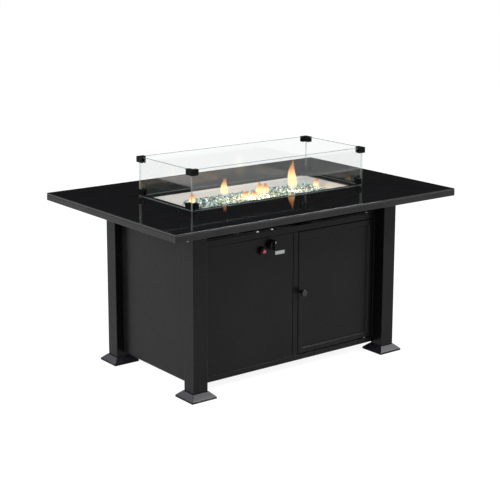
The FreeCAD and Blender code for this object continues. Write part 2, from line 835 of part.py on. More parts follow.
def make_pan():
    """A stainless pan with sloping walls, hung by its flange under the edge of the cut-out."""
    body = new_body("burner_pan")
    flange_x = ("-cutout_length / 2 - pan_flange", "cutout_length / 2 + pan_flange")
    flange_y = ("-cutout_width / 2 - pan_flange", "cutout_width / 2 + pan_flange")
    flange = rectangle(sketch_on(body, "pan_flange_outline", "XY_Plane", "glass_under - pan_sheet"),
                       flange_x, flange_y)
    pad(body, "pan_flange_sheet", flange, "pan_sheet")

    def level(half_x, half_y):
        return (f"-({half_x})", half_x), (f"-({half_y})", half_y)

    loft(body, "pan_outside", "AdditiveLoft", level("floor_x + pan_sheet", "floor_y + pan_sheet"),
         level("mouth_x + pan_sheet", "mouth_y + pan_sheet"), "pan_under", "glass_under - pan_sheet")
    loft(body, "pan_inside", "SubtractiveLoft", level("floor_x", "floor_y"), level("mouth_x", "mouth_y"),
         "pan_floor", "glass_under")
    holes = sketch_on(body, "pan_holes", "XY_Plane", "pan_floor")
    circle(holes, "burner_x", "0", "mixer_neck + fit_clearance")
    circle(holes, "electrode_x", "-sensor_offset", "electrode_radius + fit_clearance")
    circle(holes, "thermocouple_x", "-sensor_offset", "thermocouple_radius + fit_clearance")
    pocket(body, "pan_drilling", holes, "pan_sheet")
    keep(body, "burner_pan")


def make_burner():
    """A capped burner tube with a row of ports, and the mixer that feeds it from below."""
    half = "burner_length / 2"
    body = turned("burner_tube", "x", [
        ("0", f"-{half}"), ("burner_radius", f"-{half}"), ("burner_radius", half), ("0", half),
        ("0", f"{half} - burner_wall"), ("burner_radius - burner_wall", f"{half} - burner_wall"),
        ("burner_radius - burner_wall", f"-{half} + burner_wall"), ("0", f"-{half} + burner_wall")])
    boss = circle(sketch_on(body, "boss_outline", "XY_Plane", "-burner_radius - burner_rise"), "0", "0",
                  "boss_radius")
    pad(body, "burner_boss", boss, "boss_top")
    socket = circle(sketch_on(body, "boss_bore_outline", "XY_Plane", "-burner_radius - burner_rise"), "0",
                    "0",
                    "mixer_neck + fit_clearance")
    pocket(body, "boss_bore", socket, "boss_top", reverse=True)
    first = circle(sketch_on(body, "port_outline", "XY_Plane", "burner_radius"),
                   "-(port_count - 1) * port_pitch / 2", "0", "port_radius")
    port = pocket(body, "burner_port", first, "2 * burner_wall")
    row = body.newObject("PartDesign::LinearPattern", "burner_ports")
    row.Originals = [port]
    row.Direction = (first, ["H_Axis"])
    bind(row, "Length", "(port_count - 1) * port_pitch")
    bind(row, "Occurrences", "port_count")
    body.Tip = row
    place(body, "burner_x", "0", "burner_z")
    keep(body, "burner_tube")
    mixer = turned("burner_mixer", "z", [
        ("pipe_radius + fit_clearance", "mixer_low"), ("mixer_radius", "mixer_low"),
        ("mixer_radius", "pan_under - mixer_collar_height"),
        ("mixer_collar", "pan_under - mixer_collar_height"),
        ("mixer_collar", "pan_under"), ("mixer_neck", "pan_under"), ("mixer_neck", "pan_floor + boss_top"),
        ("mixer_bore", "pan_floor + boss_top"), ("mixer_bore", "mixer_low + mixer_socket"),
        ("pipe_radius + fit_clearance", "mixer_low + mixer_socket")])
    holes = circle(sketch_on(mixer, "air_hole_outline", "XZ_Plane"), "0", "mixer_low + air_hole_rise",
                   "air_hole_radius")
    pocket(mixer, "air_hole_back", holes)
    pocket(mixer, "air_hole_front", holes, reverse=True)
    place(mixer, "burner_x")
    keep(mixer, "burner_mixer")


def make_sensors():
    """The ceramic ignition electrode and the thermocouple, seated on the pan's floor."""
    flange = "pan_floor + sensor_flange_height"
    low = "pan_floor - sensor_tail"
    electrode = turned("ignition_electrode", "z", [
        ("0", low), ("electrode_radius", low), ("electrode_radius", "pan_floor"),
        ("sensor_flange", "pan_floor"),
        ("sensor_flange", flange), ("electrode_radius", flange),
        ("electrode_radius", "pan_floor + electrode_ceramic"),
        ("electrode_wire", "pan_floor + electrode_ceramic"),
        ("electrode_wire", "sensor_top"), ("0", "sensor_top")])
    keep(place(electrode, "electrode_x", "-sensor_offset"), "ignition_electrode")
    thermocouple = turned("thermocouple", "z", [
        ("0", low), ("thermocouple_radius", low), ("thermocouple_radius", "pan_floor"),
        ("sensor_flange", "pan_floor"), ("sensor_flange", flange), ("thermocouple_radius", flange),
        ("thermocouple_radius", "sensor_top"), ("0", "sensor_top")])
    keep(place(thermocouple, "thermocouple_x", "-sensor_offset"), "thermocouple")


def make_fire_glass():
    """The heap of fire glass: it fills the pan up to its edge and rises to a low crown."""
    body = new_body("fire_glass_heap")
    foot_x = ("-(bed_left)", "floor_x - bed_gap")
    foot_y = ("-(floor_y) + bed_gap", "floor_y - bed_gap")
    edge_x = ("-(bed_left) + bed_edge", "floor_x + bed_run - bed_gap")
    edge_y = ("-(floor_y) - bed_run + bed_gap", "floor_y + bed_run - bed_gap")
    crown_x = (f"{edge_x[0]} + bed_crown_run", f"{edge_x[1]} - bed_crown_run")
    crown_y = (f"{edge_y[0]} + bed_crown_run", f"{edge_y[1]} - bed_crown_run")
    loft(body, "heap_base", "AdditiveLoft", (foot_x, foot_y), (edge_x, edge_y), "pan_floor", "bed_top")
    loft(body, "heap_crown", "AdditiveLoft", (edge_x, edge_y), (crown_x, crown_y), "bed_top",
         "bed_top + bed_crown")
    half = "(burner_length / 2 + bed_gap)"
    trench = block("burner_trench", (f"burner_x - {half}", f"burner_x + {half}"),
                   ("-boss_radius - bed_gap", "boss_radius + bed_gap"),
                   ("pan_floor", "burner_z + burner_radius + bed_gap"))
    wells = [rod(f"{name}_well", "z", (x, "-sensor_offset"), ("pan_floor", "sensor_top + bed_gap"),
                 "sensor_flange + bed_gap")
             for name, x in (("electrode", "electrode_x"), ("thermocouple", "thermocouple_x"))]
    keep(cut("fire_glass_bed", body, trench, *wells), "fire_glass_bed")


def make_valve():
    """The gas valve on its bracket, with the inlet below and the pipe to the mixer behind."""
    across = ("bracket_mid_x - bracket_width / 2", "bracket_mid_x + bracket_width / 2")
    top = ("top_rail_low - panel_sheet - bracket_sheet", "top_rail_low - panel_sheet")
    leg_y = ("-(bracket_face)", "-(bracket_face) + bracket_sheet")
    shelf = block("bracket_top", across, ("-(front_face) + panel_sheet + fit_clearance", leg_y[1]), top)
    leg = block("bracket_leg", across, leg_y, ("top_rail_low - bracket_drop", top[1]))
    neck_hole = rod("bracket_neck_hole", "y", ("knob_x", "knob_z"), leg_y,
                    "valve_neck_radius + fit_clearance")
    case_hole = rod("bracket_igniter_hole", "y", ("igniter_x", "igniter_z"), leg_y,
                    "igniter_radius + fit_clearance")
    screws = [rod(f"bracket_screw_hole_{index}", "z", (x, "-(rail_screw_y)"), top, "screw_hole")
              for index, x in enumerate(bracket_screws(), 1)]
    keep(cut("valve_bracket", fuse("bracket_sheet_metal", shelf, leg), neck_hole, case_hole, *screws),
         "valve_bracket")

    face = leg_y[1]
    back = f"{face} + valve_depth"
    case = block("valve_case", ("knob_x - valve_width / 2", "knob_x + valve_width / 2"), (face, back),
                 ("knob_z - valve_height / 2", "knob_z + valve_height / 2"))
    neck = rod("valve_neck", "y", ("knob_x", "knob_z"), (f"{face} - valve_neck_length", face),
               "valve_neck_radius")
    bore = rod("valve_bore", "y", ("knob_x", "knob_z"),
               (f"{face} - valve_neck_length", f"{face} + valve_bore_depth"),
               "collar_radius + running_clearance")
    outlet = rod("valve_outlet", "y", ("knob_x", "knob_z"), (back, f"{back} + outlet_length"),
                 "outlet_radius")
    outlet_bore = rod("valve_outlet_bore", "y", ("knob_x", "knob_z"),
                      (f"{back} + outlet_length - pipe_insert", f"{back} + outlet_length"),
                      "pipe_radius + fit_clearance")
    keep(cut("gas_valve_body", fuse("valve_casting", case, neck, outlet), bore, outlet_bore),
         "gas_valve_body")

    middle = ("knob_x", f"{face} + valve_depth / 2")
    nut = hexagon("inlet_hexagon", "z", middle, ("inlet_bottom", "inlet_top"), "inlet_hex_radius")
    thread = rod("inlet_thread", "z", middle, ("inlet_bottom - inlet_thread_length", "inlet_bottom"),
                 "inlet_thread_radius")
    passage = rod("inlet_passage", "z", middle, ("inlet_bottom - inlet_thread_length", "inlet_top"),
                  "inlet_bore")
    keep(cut("gas_inlet_fitting", fuse("inlet_blank", nut, thread), passage), "gas_inlet_fitting")

    start = ("knob_x", f"{back} + outlet_length - pipe_insert", "knob_z")
    route = [start, ("knob_x", "0", "knob_z"), ("burner_x", "0", "knob_z"),
             ("burner_x", "0", "mixer_low + mixer_socket")]
    pipe = document.addObject("Part::Feature", "gas_pipe")
    outer = swept(route, "pipe_bend", "pipe_radius")
    pipe.Shape = outer.cut(swept(route, "pipe_bend", "pipe_radius - pipe_wall"))
    pipe.Placement = FreeCAD.Placement()
    keep(pipe, "gas_pipe")


def swept(route, bend, radius):
    """A round bar along straight runs joined by tangent arcs of one bend radius."""
    points = [Vector(*(number(text) for text in point)) for point in route]
    reach = number(bend)
    edges = []
    start = points[0]
    for before, corner, after in zip(points, points[1:], points[2:]):
        arriving = (corner - before).normalize()
        leaving = (after - corner).normalize()
        first = corner - arriving * reach
        last = corner + leaving * reach
        centre = first + leaving * reach
        middle = centre + (corner - centre).normalize() * reach
        edges.append(Part.LineSegment(start, first).toShape())
        edges.append(Part.Arc(first, middle, last).toShape())
        start = last
    edges.append(Part.LineSegment(start, points[-1]).toShape())
    ring = Part.Wire(Part.Circle(points[0], points[1] - points[0], number(radius)).toShape())
    return Part.Wire(edges).makePipeShell([ring], True, False)


def make_knob_and_stem():
    """The sliding collar in the valve's neck, the stem that turns in it and the gas knob."""
    face = "-(bracket_face) + bracket_sheet - valve_neck_length"
    shoulder = f"{face} + stem_shoulder_length"
    collar = turned("valve_collar", "y", [
        ("stem_radius + running_clearance", f"{shoulder} + fit_clearance"),
        ("collar_radius", f"{shoulder} + fit_clearance"),
        ("collar_radius", f"{shoulder} + fit_clearance + collar_length"),
        ("stem_radius + running_clearance", f"{shoulder} + fit_clearance + collar_length")])
    keep(place(collar, "knob_x", "0", "knob_z"), "valve_collar")
    tip = "-(stem_tip)"
    stem = turned("valve_stem", "y", [
        ("0", tip), ("stem_radius", tip), ("stem_radius", face), ("stem_shoulder", face),
        ("stem_shoulder", shoulder), ("stem_radius", shoulder), ("stem_radius", f"{tip} + stem_length"),
        ("0", f"{tip} + stem_length")])
    keep(place(stem, "knob_x", "0", "knob_z"), "valve_stem")
    knob = turned("gas_knob", "y", [
        ("stem_radius + running_clearance", "-(knob_base)"),
        ("stem_radius + running_clearance", "-(stem_tip)"),
        ("0", "-(stem_tip)"), ("0", "-(knob_tip)"), ("knob_radius - knob_round", "-(knob_tip)"),
        ("knob_radius", "-(knob_tip) + knob_round"), ("knob_radius", "-(knob_base) - knob_skirt_length"),
        ("knob_skirt", "-(knob_base) - knob_skirt_length"), ("knob_skirt", "-(knob_base)")])
    grip = sketch_on(knob, "grip_sides", "XZ_Plane", "knob_tip")
    rectangle(grip, ("knob_grip_width / 2", "knob_skirt + knob_round"), ("-knob_skirt", "knob_skirt"))
    rectangle(grip, ("-knob_skirt - knob_round", "-knob_grip_width / 2"), ("-knob_skirt", "knob_skirt"))
    pocket(knob, "grip", grip, "knob_grip_depth")
    keep(place(knob, "knob_x", "0", "knob_z"), "gas_knob")


def make_igniter():
    """The igniter: a threaded case with its nut, a battery inside and the push button."""
    tip = "-(front_face) - bezel_length"
    back = f"{tip} + igniter_length"
    housing = turned("igniter_housing", "y", [
        ("igniter_bore", tip), ("bezel_radius - bezel_round", tip), ("bezel_radius", f"{tip} + bezel_round"),
        ("bezel_radius", "-(front_face)"), ("igniter_radius", "-(front_face)"), ("igniter_radius", back),
        ("0", back), ("0", f"{back} - igniter_wall"), ("igniter_bore", f"{back} - igniter_wall")])
    keep(place(housing, "igniter_x", "0", "igniter_z"), "igniter_housing")
    nut_span = ("-(front_face) + panel_sheet", "-(front_face) + panel_sheet + igniter_nut_height")
    nut = hexagon("igniter_nut_blank", "y", ("igniter_x", "igniter_z"), nut_span, "igniter_nut_radius")
    thread = rod("igniter_nut_bore", "y", ("igniter_x", "igniter_z"), nut_span,
                 "igniter_radius + running_clearance")
    keep(cut("igniter_nut", nut, thread), "igniter_nut")
    end = f"{back} - igniter_wall"
    battery = turned("igniter_battery", "y", [
        ("0", end), ("battery_radius", end), ("battery_radius", f"{end} - battery_length + nub_length"),
        ("battery_nub", f"{end} - battery_length + nub_length"), ("battery_nub", f"{end} - battery_length"),
        ("0", f"{end} - battery_length")])
    keep(place(battery, "igniter_x", "0", "igniter_z"), "igniter_battery")
    front = f"{tip} - button_proud"
    button = turned("igniter_button", "y", [
        ("0", front), ("button_radius - button_round", front), ("button_radius", f"{front} + button_round"),
        ("button_radius", f"{front} + button_length"), ("0", f"{front} + button_length")])
    keep(place(button, "igniter_x", "0", "igniter_z"), "igniter_button")


def make_plate():
    """The blank metal plate beside the controls."""
    plate = block("label_plate", ("plate_x - plate_length / 2", "plate_x + plate_length / 2"),
                  ("-(front_face) - plate_thickness", "-(front_face)"),
                  ("plate_z - plate_height / 2", "plate_z + plate_height / 2"))
    keep(plate, "label_plate")


def make_frame_screws():
    """Pan-head screws: two down through the top rail and one in the outer side of each post."""
    screws = []
    for index, x in enumerate(bracket_screws(), 1):
        centre = (x, "-(rail_screw_y)")
        head = rod(f"rail_screw_head_{index}", "z", centre,
                   ("cabinet_top", "cabinet_top + screw_head_height"),
                   "screw_head")
        shank = rod(f"rail_screw_shank_{index}", "z", centre, ("cabinet_top - screw_length", "cabinet_top"),
                    "screw_radius")
        screws.append(fuse(f"rail_screw_{index}", head, shank))
    for corner, (side, end) in CORNERS.items():
        centre = (side_of(end, "post_centre_y"), "post_screw_z")
        head = rod(f"post_screw_head_{corner}", "x", centre,
                   mirrored(side, "post_outer_x", "post_outer_x + screw_head_height"), "screw_head")
        shank = rod(f"post_screw_shank_{corner}", "x", centre,
                    mirrored(side, "post_outer_x - screw_length", "post_outer_x"), "screw_radius")
        screws.append(fuse(f"post_screw_{corner}", head, shank))
    keep(group("frame_screws", *screws), "frame_screws")


def make_door():
    """The door: a pressed tray with a recessed middle, its bushes, strike plate, knob and screw."""
    body = new_body("door_leaf_blank")
    pad(body, "door_block", rectangle(sketch_on(body, "door_outline", "XZ_Plane"), ("0", "door_width"),
                                      ("0", "door_height")), "door_depth", reverse=True)
    middle_x = ("door_border", "door_width - door_border")
    middle_z = ("door_border", "door_height - door_top_border")
    recess = rectangle(sketch_on(body, "door_recess_outline", "XZ_Plane"), middle_x, middle_z)
    pocket(body, "door_recess_pocket", recess, "door_recess")
    document.recompute()
    depth = number("door_recess")
    round_edges(body, "door_recess_bends", "door_bend",
                lambda edge: abs(edge.BoundBox.YMin - depth) < 1e-6
                and abs(edge.BoundBox.YMax - depth) < 1e-6)
    behind = sketch_on(body, "door_back_outline", "XZ_Plane", "-door_depth")
    rectangle(behind, ("panel_sheet", "door_width - panel_sheet"),
              ("panel_sheet", "door_height - panel_sheet"))
    pocket(body, "door_back_pocket", behind, "door_depth - door_recess - panel_sheet", reverse=True)
    channel = sketch_on(body, "door_channel_outline", "XZ_Plane", "-(door_recess + panel_sheet)")
    rectangle(channel, ("panel_sheet", "door_width - panel_sheet"),
              ("panel_sheet", "door_height - panel_sheet"))
    rectangle(channel, ("door_border - panel_sheet", "door_width - door_border + panel_sheet"),
              ("door_border - panel_sheet", "door_height - door_top_border + panel_sheet"))
    pocket(body, "door_channel", channel, "door_recess", reverse=True)
    place(body, "door_left", "-(front_face)", "door_low")
    holes = [rod(f"door_{end}_bush_hole", "z", ("pivot_x", "-(pivot_y)"), span, "bush_radius")
             for end, span in (("lower", ("door_low", "door_low + panel_sheet")),
                               ("upper", ("door_high - panel_sheet", "door_high")))]
    screw = rod("door_screw_hole", "y", ("door_knob_x", "door_knob_z"),
                ("-(front_face)", "-(front_face) + panel_sheet"), "knob_screw_radius + screw_clearance")
    keep(cut("door_leaf", body, *holes, screw), "door_leaf")
    make_bushes()
    make_strike_plate()
    make_door_knob()


def make_bushes():
    """A collared bush in the door's lower flange and one in its upper flange."""
    centre = ("pivot_x", "-(pivot_y)")
    inner_low = "door_low + panel_sheet"
    inner_high = "door_high - panel_sheet"
    spans = {
        "lower": ((inner_low, f"{inner_low} + bush_collar_height"),
                  ("door_low", f"{inner_low} + bush_barrel")),
        "upper": ((f"{inner_high} - bush_collar_height", inner_high),
                  (f"{inner_high} - bush_barrel", "door_high")),
    }
    bushes = []
    for end, (collar, barrel) in spans.items():
        blank = fuse(f"{end}_bush_blank",
                     rod(f"{end}_bush_collar", "z", centre, collar, "bush_radius + bush_collar"),
                     rod(f"{end}_bush_barrel", "z", centre, barrel, "bush_radius"))
        bushes.append(cut(f"{end}_bush", blank, rod(f"{end}_bush_bore", "z", centre, barrel, "bush_bore")))
    keep(group("door_bushes", *bushes), "door_bushes")


def make_strike_plate():
    """An angle of steel inside the door's free edge, which the magnet holds."""
    heights = ("strike_low", "strike_high")
    inner = "door_left + panel_sheet"
    back = "-(door_back)"
    leg = block("strike_leg", (inner, f"{inner} + strike_sheet"), (f"{back} - strike_width", back), heights)
    face = block("strike_face", (inner, f"{inner} + strike_width"), (f"{back} - strike_sheet", back), heights)
    keep(fuse("strike_plate", leg, face), "strike_plate")


def make_door_knob():
    """The round door knob on its stem, and the screw that holds it from inside."""
    face = "-(front_face)"
    tip = "-(door_knob_tip)"
    hole = "knob_screw_radius + screw_clearance"
    knob = turned("door_knob", "y", [
        (hole, face), (hole, f"{face} - knob_screw_engage"), ("0", f"{face} - knob_screw_engage"), ("0", tip),
        ("door_knob_radius - door_knob_round", tip), ("door_knob_radius", f"{tip} + door_knob_round"),
        ("door_knob_radius", f"{tip} + door_knob_head - door_knob_round / 2"),
        ("door_knob_radius - door_knob_round", f"{tip} + door_knob_head"),
        ("door_knob_stem", f"{tip} + door_knob_head"), ("door_knob_stem", face)])
    keep(place(knob, "door_knob_x", "0", "door_knob_z"), "door_knob")
    inner = f"{face} + panel_sheet"
    head = rod("knob_screw_head_disc", "y", ("door_knob_x", "door_knob_z"),
               (inner, f"{inner} + knob_screw_head_height"), "knob_screw_head")
    shank = rod("knob_screw_shank", "y", ("door_knob_x", "door_knob_z"),
                (f"{face} - knob_screw_engage", inner), "knob_screw_radius")
    keep(fuse("door_knob_screw", head, shank), "door_knob_screw")


def make_pivots_and_catch():
    """The door's two pivot pins in the rails, and the magnet catch on the mullion."""
    centre = ("pivot_x", "-(pivot_y)")
    head = rod("upper_pin_head", "z", centre, ("cabinet_top", "cabinet_top + screw_head_height"),
               "screw_head")
    shank = rod("upper_pin_shank", "z", centre, ("top_rail_low - pivot_engage", "cabinet_top"),
                "pivot_radius")
    collar = rod("lower_pin_collar", "z", centre, ("bottom_rail_top", "door_low - pivot_seat"),
                 "pivot_collar")
    pin = rod("lower_pin_shank", "z", centre, ("bottom_rail_top - pivot_grip", "door_low + pivot_engage"),
              "pivot_radius")
    keep(group("door_pivot_pins", fuse("upper_pin", head, shank), fuse("lower_pin", collar, pin)),
         "door_pivot_pins")
    heights = ("strike_low", "strike_high")
    plate = block("catch_plate_block", ("mullion_right - catch_plate_width", "catch_right"),
                  ("-(front_back)", "-(front_back) + catch_plate"), heights)
    magnet = block("catch_magnet", ("catch_left", "catch_right"),
                   ("-(door_back) + catch_gap", "-(door_back) + catch_depth"), heights)
    keep(fuse("magnet_catch", plate, magnet), "magnet_catch")


def make_guard():
    """The wind guard: two long panes with two short ones between them, held by clips at the corners."""
    heights = ("guard_low", "guard_top")
    end_y = "guard_y - guard_glass - guard_corner_gap"
    for name, sign in (("guard_pane_front", -1), ("guard_pane_back", 1)):
        keep(block(name, ("-(guard_x)", "guard_x"), mirrored(sign, "guard_y - guard_glass", "guard_y"),
                   heights), name)
    for name, sign in (("guard_pane_left", -1), ("guard_pane_right", 1)):
        keep(block(name, mirrored(sign, "guard_x - guard_glass", "guard_x"), (f"-({end_y})", end_y),
                   heights), name)
    top_clips = []
    low_clips = []
    for corner, (side, end) in CORNERS.items():
        top_clips.append(top_clip(corner, side, end))
        low_clips.extend(low_clip(corner, side, end))
    keep(group("guard_top_clips", *top_clips), "guard_top_clips")
    keep(group("guard_bottom_clips", *low_clips), "guard_bottom_clips")


def top_clip(corner, side, end):
    """An L-shaped cap over one upper corner, with a slot for each pane."""
    name = f"top_clip_{corner}"
    heights = ("guard_top + clip_cap - clip_height", "guard_top + clip_cap")
    outer_x = "guard_x + clip_grip"
    outer_y = "guard_y + clip_grip"
    along_x = block(f"{name}_x_arm", mirrored(side, f"{outer_x} - clip_arm", outer_x),
                    mirrored(end, "guard_y - guard_glass - clip_grip", outer_y), heights)
    along_y = block(f"{name}_y_arm", mirrored(side, "guard_x - guard_glass - clip_grip", outer_x),
                    mirrored(end, f"{outer_y} - clip_side_arm", outer_y), heights)
    slot_heights = ("guard_low", "guard_top")
    x_slot = block(f"{name}_x_slot", mirrored(side, "guard_x - clip_arm", "guard_x"),
                   mirrored(end, "guard_y - guard_glass", "guard_y"), slot_heights)
    y_slot = block(f"{name}_y_slot", mirrored(side, "guard_x - guard_glass", "guard_x"),
                   mirrored(end, "guard_y - clip_side_arm", "guard_y - guard_glass"), slot_heights)
    return cut(name, fuse(f"{name}_blank", along_x, along_y), x_slot, y_slot)


def low_clip(corner, side, end):
    """A pad on the outside of each pane and an angle inside them, at one lower corner."""
    name = f"low_clip_{corner}"
    heights = ("low_clip_z", "low_clip_z + low_clip_height")
    span_x = ("guard_x - low_clip_offset - low_clip_length", "guard_x - low_clip_offset")
    span_y = ("guard_y - low_clip_offset - low_clip_side_length", "guard_y - low_clip_offset")
    pad_x = block(f"{name}_x_pad", mirrored(side, *span_x), mirrored(end, "guard_y", "guard_y + clip_grip"),
                  heights)
    pad_y = block(f"{name}_y_pad", mirrored(side, "guard_x", "guard_x + clip_grip"), mirrored(end, *span_y),
                  heights)
    inner_x = "guard_x - guard_glass"
    inner_y = "guard_y - guard_glass"
    leg_x = block(f"{name}_x_leg", mirrored(side, span_x[0], inner_x),
                  mirrored(end, f"{inner_y} - clip_grip", inner_y), heights)
    leg_y = block(f"{name}_y_leg", mirrored(side, f"{inner_x} - clip_grip", inner_x),
                  mirrored(end, span_y[0], inner_y), heights)
    return [pad_x, pad_y, fuse(f"{name}_angle", leg_x, leg_y)]


def check_model():
    """Stop if an object failed, a cut removed nothing or a sub-part isn't whole."""
    for item in document.Objects:
        if "Invalid" in item.State or "Error" in item.State:
            raise RuntimeError(f"{item.Name} failed: {item.State}")
    for item, base in removals:
        if not item.Shape.Volume < base.Shape.Volume:
            raise RuntimeError(f"{item.Name} removes nothing")
    for item in pieces:
        if item.Shape.isNull() or not item.Shape.isValid() or not item.Shape.Solids:
            raise RuntimeError(f"{item.Label} is not a whole solid")


def write_pieces():
    """Write one STEP file for each sub-part."""
    os.makedirs("parts", exist_ok=True)
    for item in pieces:
        item.Shape.exportStep(os.path.join("parts", f"{item.Label}.step"))
        print(f"{item.Label}: {len(item.Shape.Solids)} solids, {item.Shape.Volume / 1000:.1f} cm3")
    print(f"{len(pieces)} sub-parts")


sheet = write_sheet()
probe = document.addObject("App::VarSet", "Probe")
make_posts()
make_feet()
make_rim()
make_bearers()
make_tabletop()
make_side_and_back_panels()
make_front_panel()
make_front_rails()
make_shelf()
make_pan()
make_burner()
make_sensors()
make_fire_glass()
make_valve()
make_knob_and_stem()
make_igniter()
make_plate()
make_frame_screws()
make_door()
make_pivots_and_catch()
make_guard()
document.recompute()
check_model()
write_pieces()
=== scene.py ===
"""Gas fire pit table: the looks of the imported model, with its floor, lamps and camera."""
import logging
import math
import random
from dataclasses import dataclass
from enum import Enum
from typing import Any, Optional, Sequence

import bmesh
import bpy
from mathutils import Matrix, Vector


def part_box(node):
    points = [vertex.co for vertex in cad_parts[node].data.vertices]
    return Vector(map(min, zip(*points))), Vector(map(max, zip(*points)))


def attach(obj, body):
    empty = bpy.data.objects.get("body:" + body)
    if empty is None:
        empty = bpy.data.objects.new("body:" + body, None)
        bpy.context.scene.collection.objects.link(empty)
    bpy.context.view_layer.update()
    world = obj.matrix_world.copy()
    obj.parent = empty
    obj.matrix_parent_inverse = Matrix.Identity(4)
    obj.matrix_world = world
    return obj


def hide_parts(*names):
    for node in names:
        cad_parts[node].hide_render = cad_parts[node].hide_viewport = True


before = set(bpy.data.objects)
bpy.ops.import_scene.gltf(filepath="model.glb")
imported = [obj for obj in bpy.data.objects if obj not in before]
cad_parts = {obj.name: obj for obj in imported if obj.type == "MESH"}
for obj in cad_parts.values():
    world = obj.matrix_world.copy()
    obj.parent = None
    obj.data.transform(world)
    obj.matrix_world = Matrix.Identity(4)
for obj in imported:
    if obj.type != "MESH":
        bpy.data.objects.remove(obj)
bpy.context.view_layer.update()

Pair = tuple[float, float]
Point = tuple[float, float, float]
Colour = tuple[float, float, float]
# Left, right, front and back.
Area = tuple[float, float, float, float]
Socket = bpy.types.NodeSocket

LOG = logging.getLogger("fire_pit_table")

WHITE = (1.0, 1.0, 1.0, 1.0)
# From nothing to all of something.
SHARE: Pair = (0.0, 1.0)
# Nearly all values of a noise lie in this range.
NOISE_SPAN: Pair = (0.3, 0.7)
# The tints of the glass chips; the core under them has a tint of 0, which the chips' shader paints as the
# dark shade between them.
CHIP_TINTS: Pair = (0.06, 1.0)
# The index of refraction of solid glass.
GLASS_IOR = 1.5
# A full turn in radians, as the random turns take it.
ROUND = 6.28
# Each corner's side, -1 for left, and its end, -1 for front.
CORNERS = {"front_left": (-1, -1), "front_right": (1, -1), "back_left": (-1, 1), "back_right": (1, 1)}

# Points that lie nearer together than this are one.
MERGE = 2e-6
# A point that lies nearer to a plane than this is on it.
TOUCH = 1e-5
# Faces that turn by less than this, in degrees, are one flat side.
FLAT_TURN = 0.5
# Edges that turn by more than this, in degrees, are rounded by softened.
HARD_TURN = 60.0
# Edges shorter than this belong to a corner, and eased leaves them.
SHORT_EDGE = 0.004
# The middle of a slab's eased edge lies this share of the easing from both faces.
EASE_SHARE = 0.3
# The smallest radius of a slab's corners, and the least easing of its edges.
LEAST_CORNER = 0.0001
# The radius at which the end of a turned piece is closed.
CAP = 0.0005


class Axis(Enum):
    """An axis of the frame, as its index."""

    X = 0
    Y = 1
    Z = 2


class Body(Enum):
    """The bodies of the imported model."""

    TABLE = "table"
    DOOR = "door"
    GAS_KNOB = "gas_knob"
    IGNITER = "igniter_button"
    GUARD = "wind_guard"


class PaneFace(Enum):
    """A pane's clear sides, upright ends, and top and bottom edges, as the index of their finish."""

    SIDE = 0
    END = 1
    LEVEL = 2


# Node trees and finishes


